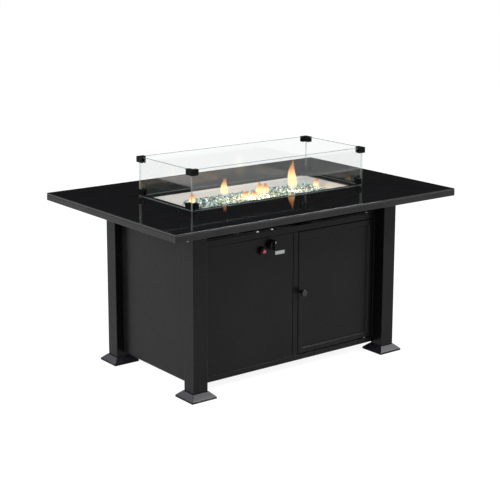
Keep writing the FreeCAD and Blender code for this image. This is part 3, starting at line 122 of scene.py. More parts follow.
class Tree:
    """Adds nodes to a tree and joins their sockets in the same call."""

    def __init__(self, tree: bpy.types.NodeTree) -> None:
        """Keep the shader or geometry tree that is filled."""
        self.tree = tree

    def add(self, kind: str, inputs: Optional[dict[Any, Any]] = None, **settings: Any) -> bpy.types.Node:
        """Add one node.

        Args:
            kind: the node's type.
            inputs: values or sockets for its inputs, by name or index.
            settings: the node's own properties.

        Returns:
            The new node.
        """
        node = self.tree.nodes.new(kind)
        for key, value in settings.items():
            setattr(node, key, value)
        for key, value in (inputs or {}).items():
            if isinstance(value, Socket):
                self.tree.links.new(value, node.inputs[key])
            else:
                node.inputs[key].default_value = value
        return node

    def sum(self, operation: str, *values: Any) -> Socket:
        """Work out a Math node's operation on sockets or numbers."""
        return self.add("ShaderNodeMath", dict(enumerate(values)), operation=operation).outputs[0]

    def place(self, stretch: Point = (1.0, 1.0, 1.0)) -> Socket:
        """Give the point on the object in metres, times a factor along each axis."""
        spot = self.add("ShaderNodeTexCoord").outputs["Object"]
        return self.add("ShaderNodeMapping", {"Vector": spot, "Scale": stretch}).outputs[0]

    def noise(self, grain: float, detail: float = 2.0, stretch: Point = (1.0, 1.0, 1.0)) -> Socket:
        """Make a fractal noise whose lumps are a grain in size, with detail as its finer octaves."""
        inputs = {"Vector": self.place(stretch), "Scale": 1.0 / grain, "Detail": detail}
        return self.add("ShaderNodeTexNoise", inputs).outputs[0]

    def attribute(self, name: str) -> Socket:
        """Read a number that the mesh carries."""
        return self.add("ShaderNodeAttribute", attribute_name=name).outputs["Fac"]

    def remap(self, value: Socket, start: Pair, end: Pair) -> Socket:
        """Map one range of values onto another, and hold the result inside that one."""
        inputs = {0: value, 1: start[0], 2: start[1], 3: end[0], 4: end[1]}
        return self.add("ShaderNodeMapRange", inputs).outputs[0]

    def around(self, noise: Socket, middle: float, below: float, above: float) -> Socket:
        """Let a value follow a noise, from so far below its middle to so far above it."""
        return self.remap(noise, NOISE_SPAN, (middle - below, middle + above))

    def blend(self, factor: Any, low: Any, high: Any) -> Socket:
        """Blend two colours.

        Args:
            factor: 0 for the first colour, 1 for the second.
            low: the first colour or socket.
            high: the second colour or socket.

        Returns:
            The blended colour.
        """
        colours = [shade if isinstance(shade, Socket) else (*shade, 1.0) for shade in (low, high)]
        node = self.add("ShaderNodeMix", {0: factor, 6: colours[0], 7: colours[1]}, data_type="RGBA")
        return node.outputs[2]

    def mottle(self, factor: Socket, colour: Colour, depth: float) -> Socket:
        """Blend a darker and a lighter tone of a colour, each a share called depth away from it."""
        return self.blend(factor, toned(colour, 1.0 - depth), toned(colour, 1.0 + depth))

    def bump(self, height: Socket, depth: float, strength: float) -> Socket:
        """Turn a height into a normal; a height of one stands out by depth, in metres."""
        inputs = {"Height": height, "Distance": depth, "Strength": strength}
        return self.add("ShaderNodeBump", inputs).outputs[0]

    def principled(self, inputs: dict[str, Any]) -> Socket:
        """Add a Principled shader with its inputs by name."""
        return self.add("ShaderNodeBsdfPrincipled", inputs).outputs[0]

    def mixed(self, factor: Any, first: Socket, second: Socket) -> Socket:
        """Mix two shaders: 0 for the first, 1 for the second."""
        return self.add("ShaderNodeMixShader", {0: factor, 1: first, 2: second}).outputs[0]


def toned(colour: Colour, factor: float) -> Colour:
    """Give a lighter or darker version of a colour."""
    return tuple(min(1.0, channel * factor) for channel in colour)


@dataclass(frozen=True)
class Finish:
    """A surface finish; each kind below builds its own shader."""

    name: str

    def material(self) -> bpy.types.Material:
        """Give the finish's material, made on its first use.

        Returns:
            The material.
        """
        label = f"{self.name}_finish"
        known = bpy.data.materials.get(label)
        if known:
            return known
        material = bpy.data.materials.new(label)
        material.use_nodes = True
        material.node_tree.nodes.clear()
        tree = Tree(material.node_tree)
        tree.add("ShaderNodeOutputMaterial", {"Surface": self.surface(tree)})
        return material

    def surface(self, tree: Tree) -> Socket:
        """Build the shader in a material's tree; each kind of finish has its own."""
        raise NotImplementedError


@dataclass(frozen=True)
class PowderCoat(Finish):
    """Baked powder paint: satin, with a fine orange peel and faint clouds of tone."""

    colour: Colour = (0.0038, 0.0038, 0.0041)
    roughness: float = 0.3
    uneven: float = 0.05
    gloss: float = 0.12
    peel: float = 0.0025
    peel_depth: float = 0.00012
    relief: float = 0.35
    cloud: float = 0.14
    cloud_span: Pair = (0.35, 0.65)
    cloud_depth: float = 0.14

    def surface(self, tree: Tree) -> Socket:
        """Build the paint's shader.

        Args:
            tree: the material's tree.

        Returns:
            The shader's socket.
        """
        clouds = tree.remap(tree.noise(self.cloud, detail=3.0), self.cloud_span, SHARE)
        grain = tree.noise(self.peel, detail=3.0)
        return tree.principled({
            "Base Color": tree.mottle(clouds, self.colour, self.cloud_depth),
            "Roughness": tree.around(grain, self.roughness, self.uneven, self.uneven),
            "Specular IOR Level": self.gloss,
            "Normal": tree.bump(grain, self.peel_depth, self.relief)})


@dataclass(frozen=True)
class BlackGlass(Finish):
    """Polished opaque black glass with the faintest wipe marks."""

    colour: Colour = (0.004, 0.004, 0.0045)
    roughness: float = 0.045
    polished: float = 0.7
    smeared: float = 1.6
    wipe: float = 0.09
    wipe_stretch: Point = (1.0, 3.0, 1.0)
    rough_span: Pair = (0.35, 0.75)
    film_span: Pair = (0.4, 0.8)

    def surface(self, tree: Tree) -> Socket:
        """Build the glass's shader.

        Args:
            tree: the material's tree.

        Returns:
            The shader's socket.
        """
        wipes = tree.noise(self.wipe, detail=4.0, stretch=self.wipe_stretch)
        limits = (self.roughness * self.polished, self.roughness * self.smeared)
        film = tree.remap(wipes, self.film_span, SHARE)
        return tree.principled({
            "Base Color": tree.blend(film, self.colour, toned(self.colour, self.smeared)),
            "Roughness": tree.remap(wipes, self.rough_span, limits), "IOR": GLASS_IOR})


@dataclass(frozen=True)
class ClearPane(Finish):
    """A side of a clear pane: lets nearly all light through and mirrors a little."""

    tint: Colour = (0.958, 0.966, 0.963)
    ior: float = 1.45
    roughness: float = 0.012

    def surface(self, tree: Tree) -> Socket:
        """Build the pane's shader.

        Args:
            tree: the material's tree.

        Returns:
            The shader's socket.
        """
        clear = tree.add("ShaderNodeBsdfTransparent", {"Color": (*self.tint, 1.0)}).outputs[0]
        gloss = tree.add("ShaderNodeBsdfGlossy", {"Color": WHITE, "Roughness": self.roughness}).outputs[0]
        behind = tree.add("ShaderNodeNewGeometry").outputs["Backfacing"]
        bend = tree.remap(behind, SHARE, (self.ior, 1.0 / self.ior))
        return tree.mixed(tree.add("ShaderNodeFresnel", {"IOR": bend}).outputs[0], clear, gloss)


@dataclass(frozen=True)
class PolishedEdge(Finish):
    """The ground and polished edge of a pane: grey-green, half clear; the grey is partly the glass's own
    tint and partly painted light and shade for the light that the edge bends.
    """

    colour: Colour = (0.34, 0.40, 0.385)
    cover: float = 0.62
    tint: Colour = (0.9, 0.95, 0.94)
    roughness: float = 0.22
    streak: float = 0.004
    streak_depth: float = 0.2

    def surface(self, tree: Tree) -> Socket:
        """Build the edge's shader.

        Args:
            tree: the material's tree.

        Returns:
            The shader's socket.
        """
        clear = tree.add("ShaderNodeBsdfTransparent", {"Color": (*self.tint, 1.0)}).outputs[0]
        shade = tree.mottle(tree.noise(self.streak), self.colour, self.streak_depth)
        solid = tree.principled({"Base Color": shade, "Roughness": self.roughness})
        return tree.mixed(self.cover, clear, solid)


@dataclass(frozen=True)
class BrushedMetal(Finish):
    """Metal with fine brush lines along one axis and a few duller clouds."""

    colour: Colour = (0.6, 0.6, 0.59)
    roughness: float = 0.34
    smoother: float = 0.06
    rougher: float = 0.08
    along: Axis = Axis.X
    line: float = 0.0006
    line_stretch: float = 0.02
    line_tone: float = 0.1
    line_depth: float = 0.00008
    relief: float = 0.25
    metal: float = 1.0
    cloud: float = 0.07
    cloud_tone: float = 0.82
    cloud_cover: float = 0.35

    def surface(self, tree: Tree) -> Socket:
        """Build the metal's shader.

        Args:
            tree: the material's tree.

        Returns:
            The shader's socket.
        """
        stretch = [1.0, 1.0, 1.0]
        stretch[self.along.value] = self.line_stretch
        lines = tree.noise(self.line, detail=3.0, stretch=tuple(stretch))
        clouds = tree.remap(tree.noise(self.cloud), NOISE_SPAN, (0.0, self.cloud_cover))
        shade = tree.mottle(lines, self.colour, self.line_tone)
        return tree.principled({
            "Base Color": tree.blend(clouds, shade, toned(self.colour, self.cloud_tone)),
            "Metallic": self.metal,
            "Roughness": tree.around(lines, self.roughness, self.smoother, self.rougher),
            "Normal": tree.bump(lines, self.line_depth, self.relief)})


@dataclass(frozen=True)
class Moulded(Finish):
    """Moulded plastic, rubber or ceramic with a fine skin, and a clear sheen where it has a coat."""

    colour: Colour = (0.3, 0.3, 0.3)
    roughness: float = 0.5
    uneven: float = 0.05
    gloss: float = 0.5
    grain: float = 0.0012
    grain_depth: float = 0.0001
    relief: float = 0.2
    cloud: float = 0.03
    cloud_depth: float = 0.1
    coat: float = 0.0
    coat_roughness: float = 0.22
    coat_ior: float = 2.0

    def surface(self, tree: Tree) -> Socket:
        """Build the plastic's shader.

        Args:
            tree: the material's tree.

        Returns:
            The shader's socket.
        """
        skin_grain = tree.noise(self.grain)
        return tree.principled({
            "Base Color": tree.mottle(tree.noise(self.cloud), self.colour, self.cloud_depth),
            "Roughness": tree.around(skin_grain, self.roughness, self.uneven, self.uneven),
            "Specular IOR Level": self.gloss, "Coat Weight": self.coat,
            "Coat Roughness": self.coat_roughness, "Coat IOR": self.coat_ior,
            "Normal": tree.bump(skin_grain, self.grain_depth, self.relief)})


@dataclass(frozen=True)
class CrushedGlass(Finish):
    """Crushed fire glass: teal, pale and clear chips, each with its own tint."""

    # The gap colour is painted shade: the near-black core stands for the shade between the chips.
    gap: Colour = (0.012, 0.022, 0.024)
    deep: Colour = (0.04, 0.11, 0.11)
    pale: Colour = (0.62, 0.75, 0.73)
    least_tint: float = 0.04
    clearness: float = 0.35
    roughness: float = 0.1

    def surface(self, tree: Tree) -> Socket:
        """Build the chips' shader; what has no tint is the gap between them, painted dark as shade.

        Args:
            tree: the material's tree.

        Returns:
            The shader's socket.
        """
        tint = tree.attribute("tint")
        chip = tree.sum("GREATER_THAN", tint, self.least_tint)
        shade = tree.blend(tree.remap(tint, CHIP_TINTS, SHARE), self.deep, self.pale)
        return tree.principled({
            "Base Color": tree.blend(chip, self.gap, shade), "Roughness": self.roughness, "IOR": GLASS_IOR,
            "Transmission Weight": tree.sum("MULTIPLY", chip, self.clearness)})


@dataclass(frozen=True)
class FlameGlow(Finish):
    """A flame: clear at its foot and rims, white-yellow in its core and orange at its tip."""

    strength: float = 1.4
    hues: tuple[tuple[float, Colour], ...] = (
        (0.0, (0.55, 0.62, 0.75)), (0.22, (1.0, 0.83, 0.55)), (0.5, (1.0, 0.78, 0.36)),
        (0.75, (0.72, 0.27, 0.09)), (1.0, (0.30, 0.10, 0.06)))
    foot_span: Pair = (0.02, 0.28)
    tip_span: Pair = (0.6, 1.0)
    tip_cover: float = 0.25
    rim_span: Pair = (0.0, 0.75)
    core_cover: float = 0.8

    def surface(self, tree: Tree) -> Socket:
        """Build the flame's shader from the height and the core that its mesh carries.

        Args:
            tree: the material's tree.

        Returns:
            The shader's socket.
        """
        height = tree.attribute("height")
        hues = tree.add("ShaderNodeValToRGB", {0: height})
        stops = hues.color_ramp.elements
        for spot, _ in self.hues[1:-1]:
            stops.new(spot)
        for stop, (_, shade) in zip(stops, self.hues):
            stop.color = (*shade, 1.0)
        glow = tree.add("ShaderNodeEmission", {"Color": hues.outputs[0], "Strength": self.strength})
        foot = tree.remap(height, self.foot_span, SHARE)
        tip = tree.remap(height, self.tip_span, (1.0, self.tip_cover))
        rims = tree.remap(tree.attribute("core"), self.rim_span, (0.0, self.core_cover))
        cover = tree.sum("MULTIPLY", tree.sum("MULTIPLY", foot, tip), rims)
        return tree.mixed(cover, tree.add("ShaderNodeBsdfTransparent").outputs[0], glow.outputs[0])


@dataclass(frozen=True)
class StudioFloor(Finish):
    """A pale floor that shows white and keeps a soft shadow."""

    albedo: float = 0.78
    shown_albedo: float = 0.16
    base: float = 0.9

    def surface(self, tree: Tree) -> Socket:
        """Build the floor's shader.

        Args:
            tree: the material's tree.

        Returns:
            The shader's socket.
        """
        path = tree.add("ShaderNodeLightPath").outputs
        shown = tree.sum("MAXIMUM", path["Is Camera Ray"], path["Is Glossy Ray"])
        shown = tree.sum("MAXIMUM", shown, path["Is Transmission Ray"])
        pale = tree.blend(shown, (self.albedo,) * 3, (self.shown_albedo,) * 3)
        plain = tree.add("ShaderNodeBsdfDiffuse", {"Color": pale})
        glow = tree.add("ShaderNodeEmission", {"Color": WHITE,
                                               "Strength": tree.sum("MULTIPLY", shown, self.base)})
        return tree.add("ShaderNodeAddShader", {0: plain.outputs[0], 1: glow.outputs[0]}).outputs[0]


BLACK_STEEL = PowderCoat("black_powder_coat")
# The rim's paint is the black powder coat made lighter: painted light where the table's top catches more
# light.
LIT_RIM_STEEL = PowderCoat("rim_powder_coat", colour=(0.012, 0.012, 0.0125), roughness=0.32, gloss=0.13)
CLIP_PAINT = PowderCoat("clip_paint", colour=(0.003, 0.003, 0.003), roughness=0.4, gloss=0.06, peel=0.0012)
TOP_GLASS = BlackGlass("black_top_glass")
PANE = ClearPane("clear_pane")
# The upright ends take the lighter grey and the top and bottom edges a darker copy: painted shade for the
# dark lines that refraction draws there.
PANE_EDGE = PolishedEdge("pane_edge", colour=(0.30, 0.34, 0.33), cover=0.32)
PANE_LEVEL_SHADE = PolishedEdge("pane_top_edge", colour=(0.10, 0.125, 0.12), cover=0.75)
PAN_STEEL = BrushedMetal("pan_stainless", colour=(0.47, 0.46, 0.44), roughness=0.45, metal=0.35)
TUBE_STEEL = BrushedMetal("burner_stainless", colour=(0.5, 0.48, 0.45), roughness=0.3)
ZINC = BrushedMetal("zinc_plate", colour=(0.62, 0.63, 0.64), roughness=0.3, along=Axis.Z)
# A much brighter copy of the zinc for the frame's screw heads: partly their own bright metal, partly a
# painted highlight so they shine in the rail's shade.
SCREW_GLINT = BrushedMetal("bright_screw", colour=(0.95, 0.95, 0.95), roughness=0.3, relief=0.1)
PLATE = BrushedMetal("blank_plate", colour=(0.36, 0.365, 0.37), roughness=0.36, line=0.0004)
BRASS = BrushedMetal("turned_brass", colour=(0.72, 0.5, 0.22), roughness=0.26, along=Axis.Z)
CAST = BrushedMetal("cast_aluminium", colour=(0.52, 0.52, 0.52), roughness=0.46, line=0.003, along=Axis.Y)
STEM = BrushedMetal("turned_steel", colour=(0.5, 0.5, 0.5), roughness=0.24, along=Axis.Y)
FOOT = Moulded("foot_plastic", colour=(0.010, 0.0095, 0.014), roughness=0.3, gloss=0.3, coat=0.5)
# A darker, duller copy of the foot plastic for the upright band at the foot's base: painted shade.
FOOT_BASE_SHADE = Moulded("foot_edge", colour=(0.004, 0.004, 0.004), roughness=0.6, gloss=0.05)
RUBBER = Moulded("pad_rubber", colour=(0.015, 0.015, 0.015), roughness=0.8, gloss=0.25)
KNOB = Moulded("knob_plastic", colour=(0.003, 0.003, 0.0033), roughness=0.2, gloss=0.12)
DOOR_KNOB = Moulded("door_knob_plastic", colour=(0.006, 0.006, 0.0065), roughness=0.22, gloss=0.35)
NYLON = Moulded("bush_nylon", colour=(0.05, 0.05, 0.05), roughness=0.5)
CERAMIC = Moulded("white_ceramic", colour=(0.8, 0.78, 0.73), roughness=0.3)
RED = Moulded("button_red", colour=(0.36, 0.03, 0.04), roughness=0.2)
JACKET = Moulded("battery_jacket", colour=(0.2, 0.21, 0.23), roughness=0.3)
CHIPS = CrushedGlass("fire_glass")
FLAME = FlameGlow("flame")

# Mesh helpers


def rounded(half_x: float, half_y: float, radius: float, steps: int = 4,
            centre: Pair = (0.0, 0.0)) -> list[Pair]:
    """Give the points of a rectangle with rounded corners.

    Args:
        half_x: half its length.
        half_y: half its width.
        radius: the corners' radius.
        steps: the number of edges in each corner.
        centre: its middle.

    Returns:
        The points, anticlockwise.
    """
    points = []
    for turn, (side, end) in enumerate(((1, 1), (-1, 1), (-1, -1), (1, -1))):
        for step in range(steps + 1):
            angle = math.pi / 2 * (turn + step / steps)
            points.append((centre[0] + side * (half_x - radius) + radius * math.cos(angle),
                           centre[1] + end * (half_y - radius) + radius * math.sin(angle)))
    return points


def fillet(centre: Pair, radius: float, start: float, end: float, steps: int = 4) -> list[Pair]:
    """Give the points of an arc round a centre, from one angle in degrees to another."""
    angles = [math.radians(start + (end - start) * step / steps) for step in range(steps + 1)]
    return [(centre[0] + radius * math.cos(angle), centre[1] + radius * math.sin(angle)) for angle in angles]


def placed(axis: Axis, along: float, across: Pair) -> Point:
    """Give the point that lies so far along an axis and has these two other coordinates."""
    return (*across[:axis.value], along, *across[axis.value:])


def skin(mesh: bmesh.types.BMesh, loops: Sequence[Sequence[Point]], closed: bool = False) -> None:
    """Join loops of equally many points into a closed shell.

    Args:
        mesh: what to add the shell to.
        loops: the loops in order; the first and last are capped.
        closed: join the last loop to the first and leave the caps out.
    """
    rings = [[mesh.verts.new(point) for point in loop] for loop in loops]
    count = len(rings[0])
    pairs = list(zip(rings, rings[1:]))
    if closed:
        pairs.append((rings[-1], rings[0]))
    else:
        mesh.faces.new(rings[0][::-1])
        mesh.faces.new(rings[-1])
    for low, high in pairs:
        for index in range(count):
            after = (index + 1) % count
            mesh.faces.new((low[index], low[after], high[after], high[index]))


def turned(mesh: bmesh.types.BMesh, profile: Sequence[Pair], axis: Axis, origin: Point,
           steps: int = 40) -> None:
    """Add a solid turned on an axis.

    Args:
        mesh: what to add it to.
        profile: radius and place along the axis, from one end to the other; the ends are capped.
        axis: the axis that it is turned on.
        origin: a point on that axis.
        steps: the number of sides.
    """
    first, second = (origin[index] for index in range(3) if index != axis.value)
    angles = [2 * math.pi * step / steps for step in range(steps)]
    skin(mesh, [[placed(axis, origin[axis.value] + along,
                        (first + radius * math.cos(angle), second + radius * math.sin(angle)))
                 for angle in angles] for radius, along in profile])


def slab(mesh: bmesh.types.BMesh, low: Point, high: Point, axis: Axis, corner: float, edge: float) -> None:
    """Add a plate with rounded corners and eased edges.

    Args:
        mesh: what to add it to.
        low: its lowest corner.
        high: its highest corner.
        axis: the axis through its thickness.
        corner: the radius of its corners, seen along that axis.
        edge: how far its edges are eased.
    """
    across = [index for index in range(3) if index != axis.value]
    centre = tuple((low[index] + high[index]) / 2 for index in across)
    half_x, half_y = ((high[index] - low[index]) / 2 for index in across)
    near, far, middle = low[axis.value], high[axis.value], edge * EASE_SHARE
    levels = ((near, edge), (near + middle, middle), (near + edge, 0.0), (far - edge, 0.0),
              (far - middle, middle), (far, edge))
    skin(mesh, [[placed(axis, along, point) for point in
                 rounded(half_x - inset, half_y - inset, max(corner - inset, LEAST_CORNER), 5, centre)]
                for along, inset in levels])


def added(name: str, data: bpy.types.ID) -> bpy.types.Object:
    """Add an object to the scene.

    Args:
        name: its name.
        data: its mesh, lamp or camera.

    Returns:
        The object, at the origin.
    """
    item = bpy.data.objects.new(name, data)
    bpy.context.scene.collection.objects.link(item)
    return item


def baked(piece: bpy.types.Object) -> bpy.types.Object:
    """Apply an object's modifiers to its mesh.

    Args:
        piece: the object.

    Returns:
        The object with its new mesh and no modifier.
    """
    graph = bpy.context.evaluated_depsgraph_get()
    made = bpy.data.meshes.new_from_object(piece.evaluated_get(graph), depsgraph=graph)
    piece.modifiers.clear()
    old = piece.data
    piece.data = made
    bpy.data.meshes.remove(old)
    made.name = piece.name
    return piece


def finished(name: str, mesh: bmesh.types.BMesh, *finishes: Finish, sharp: float = 50.0) -> bpy.types.Object:
    """Turn a mesh into an object with its finishes; flat faces keep flat normals.

    Args:
        name: the piece's name.
        mesh: its faces, which are freed.
        finishes: one for each material index.
        sharp: the angle in degrees above which an edge stays hard.

    Returns:
        The object, at the origin.
    """
    bmesh.ops.recalc_face_normals(mesh, faces=mesh.faces)
    data = bpy.data.meshes.new(name)
    mesh.to_mesh(data)
    mesh.free()
    data.shade_smooth()
    data.set_sharp_from_angle(angle=math.radians(sharp))
    for finish in finishes:
        data.materials.append(finish.material())
    piece = added(name, data)
    piece.modifiers.new("weigh", "WEIGHTED_NORMAL").keep_sharp = True
    return baked(piece)


def copied(node: str) -> bmesh.types.BMesh:
    """Copy a solid's mesh, with each of its flat sides as one face where that can be.

    Args:
        node: the solid's name.

    Returns:
        The copy.
    """
    mesh = bmesh.new()
    mesh.from_mesh(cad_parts[node].data)
    bmesh.ops.remove_doubles(mesh, verts=mesh.verts, dist=MERGE)
    bmesh.ops.dissolve_limit(mesh, angle_limit=math.radians(FLAT_TURN), verts=mesh.verts, edges=mesh.edges)
    return mesh


def bevelled(mesh: bmesh.types.BMesh, edges: list[bmesh.types.BMEdge], ease: float, segments: int) -> None:
    """Round edges of a mesh by a radius, in so many segments."""
    bmesh.ops.bevel(mesh, geom=edges, offset=ease, offset_type="OFFSET", segments=segments, profile=0.5,
                    affect="EDGES", clamp_overlap=True)


def eased(node: str, ease: float, facing: Optional[tuple[Axis, int]] = None) -> bmesh.types.BMesh:
    """Copy a box-like solid and round the long edges of its outline.

    Args:
        node: the solid's name.
        ease: the radius of the rounding.
        facing: an axis and a direction on it, for a folded sheet that is rounded on that side only.

    Returns:
        The copy.
    """
    mesh = copied(node)
    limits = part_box(node)

    def sides(vertex: bmesh.types.BMVert) -> set[tuple[int, int]]:
        """Name the sides of the solid's box that a point lies on, each as axis and direction."""
        return {(axis, side) for axis in range(3) for side, limit in zip((-1, 1), limits)
                if abs(vertex.co[axis] - limit[axis]) < TOUCH}

    wanted = (facing[0].value, facing[1]) if facing else None
    chosen = []
    for edge in mesh.edges:
        shared = sides(edge.verts[0]) & sides(edge.verts[1])
        if len(shared) > 1 and edge.calc_length() > SHORT_EDGE and (wanted is None or wanted in shared):
            chosen.append(edge)
    bevelled(mesh, chosen, ease, segments=3)
    return mesh


def softened(node: str, ease: float) -> bmesh.types.BMesh:
    """Copy a solid and round all its outward edges.

    Args:
        node: the solid's name.
        ease: the radius of the rounding.

    Returns:
        The copy.
    """
    mesh = copied(node)
    chosen = [edge for edge in mesh.edges if edge.is_manifold and edge.is_convex
              and edge.calc_face_angle() > math.radians(HARD_TURN)]
    bevelled(mesh, chosen, ease, segments=2)
    return mesh


def settle(piece: bpy.types.Object, body: Body, slot: str, *nodes: str) -> bpy.types.Object:
    """Hang a piece on the empty of the body that it rides on, and hide the solids that it stands for.

    Args:
        piece: the finished piece.
        body: the body that it rides on.
        slot: the material slot that its finish comes from; not used.
        nodes: the solids that it replaces.

    Returns:
        The same piece.
    """
    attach(piece, body.value)
    if nodes:
        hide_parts(*nodes)
    LOG.info("%s: %d faces", piece.name, len(piece.data.polygons))
    return piece


def dress(finish: Finish, *nodes: str) -> None:
    """Give solids that keep their shape a better material.

    Args:
        finish: what they get.
        nodes: their names.
    """
    for node in nodes:
        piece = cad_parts[node]
        piece.data.materials.clear()
        piece.data.materials.append(finish.material())
    LOG.info("%s on %s", finish.name, ", ".join(nodes))


# Things that repeat, made with geometry nodes


class Recipe:
    """A geometry tree with named inputs, baked into a plain mesh."""

    def __init__(self, name: str) -> None:
        """Start an empty tree.

        Args:
            name: the tree's name.
        """
        self.group = bpy.data.node_groups.new(name, "GeometryNodeTree")
        self.tree = Tree(self.group)
        self.values: dict[str, Any] = {}
        self.group.interface.new_socket("Geometry", in_out="OUTPUT", socket_type="NodeSocketGeometry")
        self.group.interface.new_socket("Geometry", in_out="INPUT", socket_type="NodeSocketGeometry")
        self.start = self.tree.add("NodeGroupInput")

    def take(self, name: str, kind: str, value: Any) -> Socket:
        """Add a named input.

        Args:
            name: the input's name.
            kind: its socket's type.
            value: what it is set to.

        Returns:
            The socket inside the tree.
        """
        item = self.group.interface.new_socket(name, in_out="INPUT", socket_type=kind)
        self.values[item.identifier] = value
        return self.start.outputs[name]

    def shuffle(self, low: Point, high: Point, seed: Socket) -> Socket:
        """Give each point a random vector between two."""
        inputs = {0: low, 1: high, "Seed": seed}
        return self.tree.add("FunctionNodeRandomValue", inputs, data_type="FLOAT_VECTOR").outputs[0]

    def bake(self, piece: bpy.types.Object, geometry: Socket, finish: Finish) -> bpy.types.Object:
        """Run the tree on an object and keep the result as its mesh.

        Args:
            piece: the object whose mesh goes in.
            geometry: the tree's last geometry.
            finish: the finish of everything that it makes.

        Returns:
            The object with its new mesh and no modifier.
        """
        real = self.tree.add("GeometryNodeRealizeInstances", {0: geometry}).outputs[0]
        painted = self.tree.add("GeometryNodeSetMaterial", {"Geometry": real, "Material": finish.material()})
        self.tree.add("NodeGroupOutput", {0: painted.outputs[0]})
        modifier = piece.modifiers.new("recipe", "NODES")
        modifier.node_group = self.group
        for identifier, value in self.values.items():
            modifier[identifier] = value
        return baked(piece)


@dataclass
class Screws:
    """Domed screw heads with their shanks, set on points that carry a direction."""

    head: float = 0.0052
    side: float = 0.00294
    rise: float = 0.0042
    dome_step: int = 11
    shank: float = 0.003
    length: float = 0.028
    tip: float = 0.001
    cap: float = 0.0004

    def pattern(self) -> bpy.types.Object:
        """Make one screw that stands on its seat along Z.

        Returns:
            The screw.
        """
        mesh = bmesh.new()
        dome = [(self.head * math.cos(math.radians(angle)),
                 self.side + (self.rise - self.side) * math.sin(math.radians(angle)))
                for angle in range(0, 90, self.dome_step)]
        profile = [(self.cap, -self.length), (self.shank, -self.length + self.tip), (self.shank, 0.0),
                   (self.head, 0.0), *dome]
        turned(mesh, profile, Axis.Z, (0.0, 0.0, 0.0), steps=28)
        return finished("screw_pattern", mesh, ZINC)

    def build(self, name: str, body: Body, slot: str, finish: Finish, spots: Sequence[tuple[Point, Point]],
              *nodes: str) -> bpy.types.Object:
        """Set screws on their seats.

        Args:
            name: the piece's name.
            body: the body that holds them.
            slot: their material slot.
            finish: their finish.
            spots: the seat and the outward direction of each.
            nodes: the solids that they replace.

        Returns:
            The piece.
        """
        pattern = self.pattern()
        data = bpy.data.meshes.new(name)
        data.from_pydata([spot for spot, _ in spots], [], [])
        facing = data.attributes.new("facing", "FLOAT_VECTOR", "POINT")
        for index, (_, way) in enumerate(spots):
            facing.data[index].vector = way
        piece = added(name, data)
        recipe = Recipe("screw_row")
        size = recipe.take("Screw size", "NodeSocketFloat", 1.0)
        shape = recipe.take("Screw", "NodeSocketObject", pattern)
        tree = recipe.tree
        points = tree.add("GeometryNodeMeshToPoints", {0: recipe.start.outputs[0]}).outputs[0]
        way = tree.add("GeometryNodeInputNamedAttribute", {"Name": "facing"}, data_type="FLOAT_VECTOR")
        turn = tree.add("FunctionNodeAlignRotationToVector", {"Vector": way.outputs[0]}, axis="Z")
        one = tree.add("GeometryNodeObjectInfo", {"Object": shape})
        row = tree.add("GeometryNodeInstanceOnPoints", {
            "Points": points, "Instance": one.outputs["Geometry"], "Rotation": turn.outputs[0],
            "Scale": size})
        recipe.bake(piece, row.outputs[0], finish)
        bpy.data.objects.remove(pattern)
        return settle(piece, body, slot, *nodes)


# Sub-assemblies


@dataclass
class Rim:
    """The steel rim under the glass, welded into one ring with eased edges; its paint is a lighter copy of
    the black powder coat, painted light for the table's top.
    """

    half_length: float = 0.626
    half_width: float = 0.414
    low: float = 0.603
    high: float = 0.624
    glass_gap: float = 0.0003
    width: float = 0.025
    ease: float = 0.0016
    corner: float = 0.003
    least_corner: float = 0.0006

    def build(self) -> bpy.types.Object:
        """Sweep the rim's section round the table.

        Returns:
            The ring.
        """
        ease, inner = self.ease, self.width - self.ease
        low, high = self.low + ease, self.high - self.glass_gap - ease
        section = []
        for turn, centre in enumerate(((inner, high), (ease, high), (ease, low), (inner, low))):
            section += fillet(centre, ease, 90 * turn, 90 * turn + 90)
        loops = []
        for inset, height in section:
            corner = max(self.corner - inset, self.least_corner)
            outline = rounded(self.half_length - inset, self.half_width - inset, corner)
            loops.append([(x, y, height) for x, y in outline])
        mesh = bmesh.new()
        skin(mesh, loops, closed=True)
        return finished("rim_ring", mesh, LIT_RIM_STEEL)

    def dress(self) -> None:
        """Build the ring and hide the plain rails under it."""
        settle(self.build(), Body.TABLE, "black_steel", "rim_rail_front", "rim_rail_back", "rim_rail_left",
               "rim_rail_right")


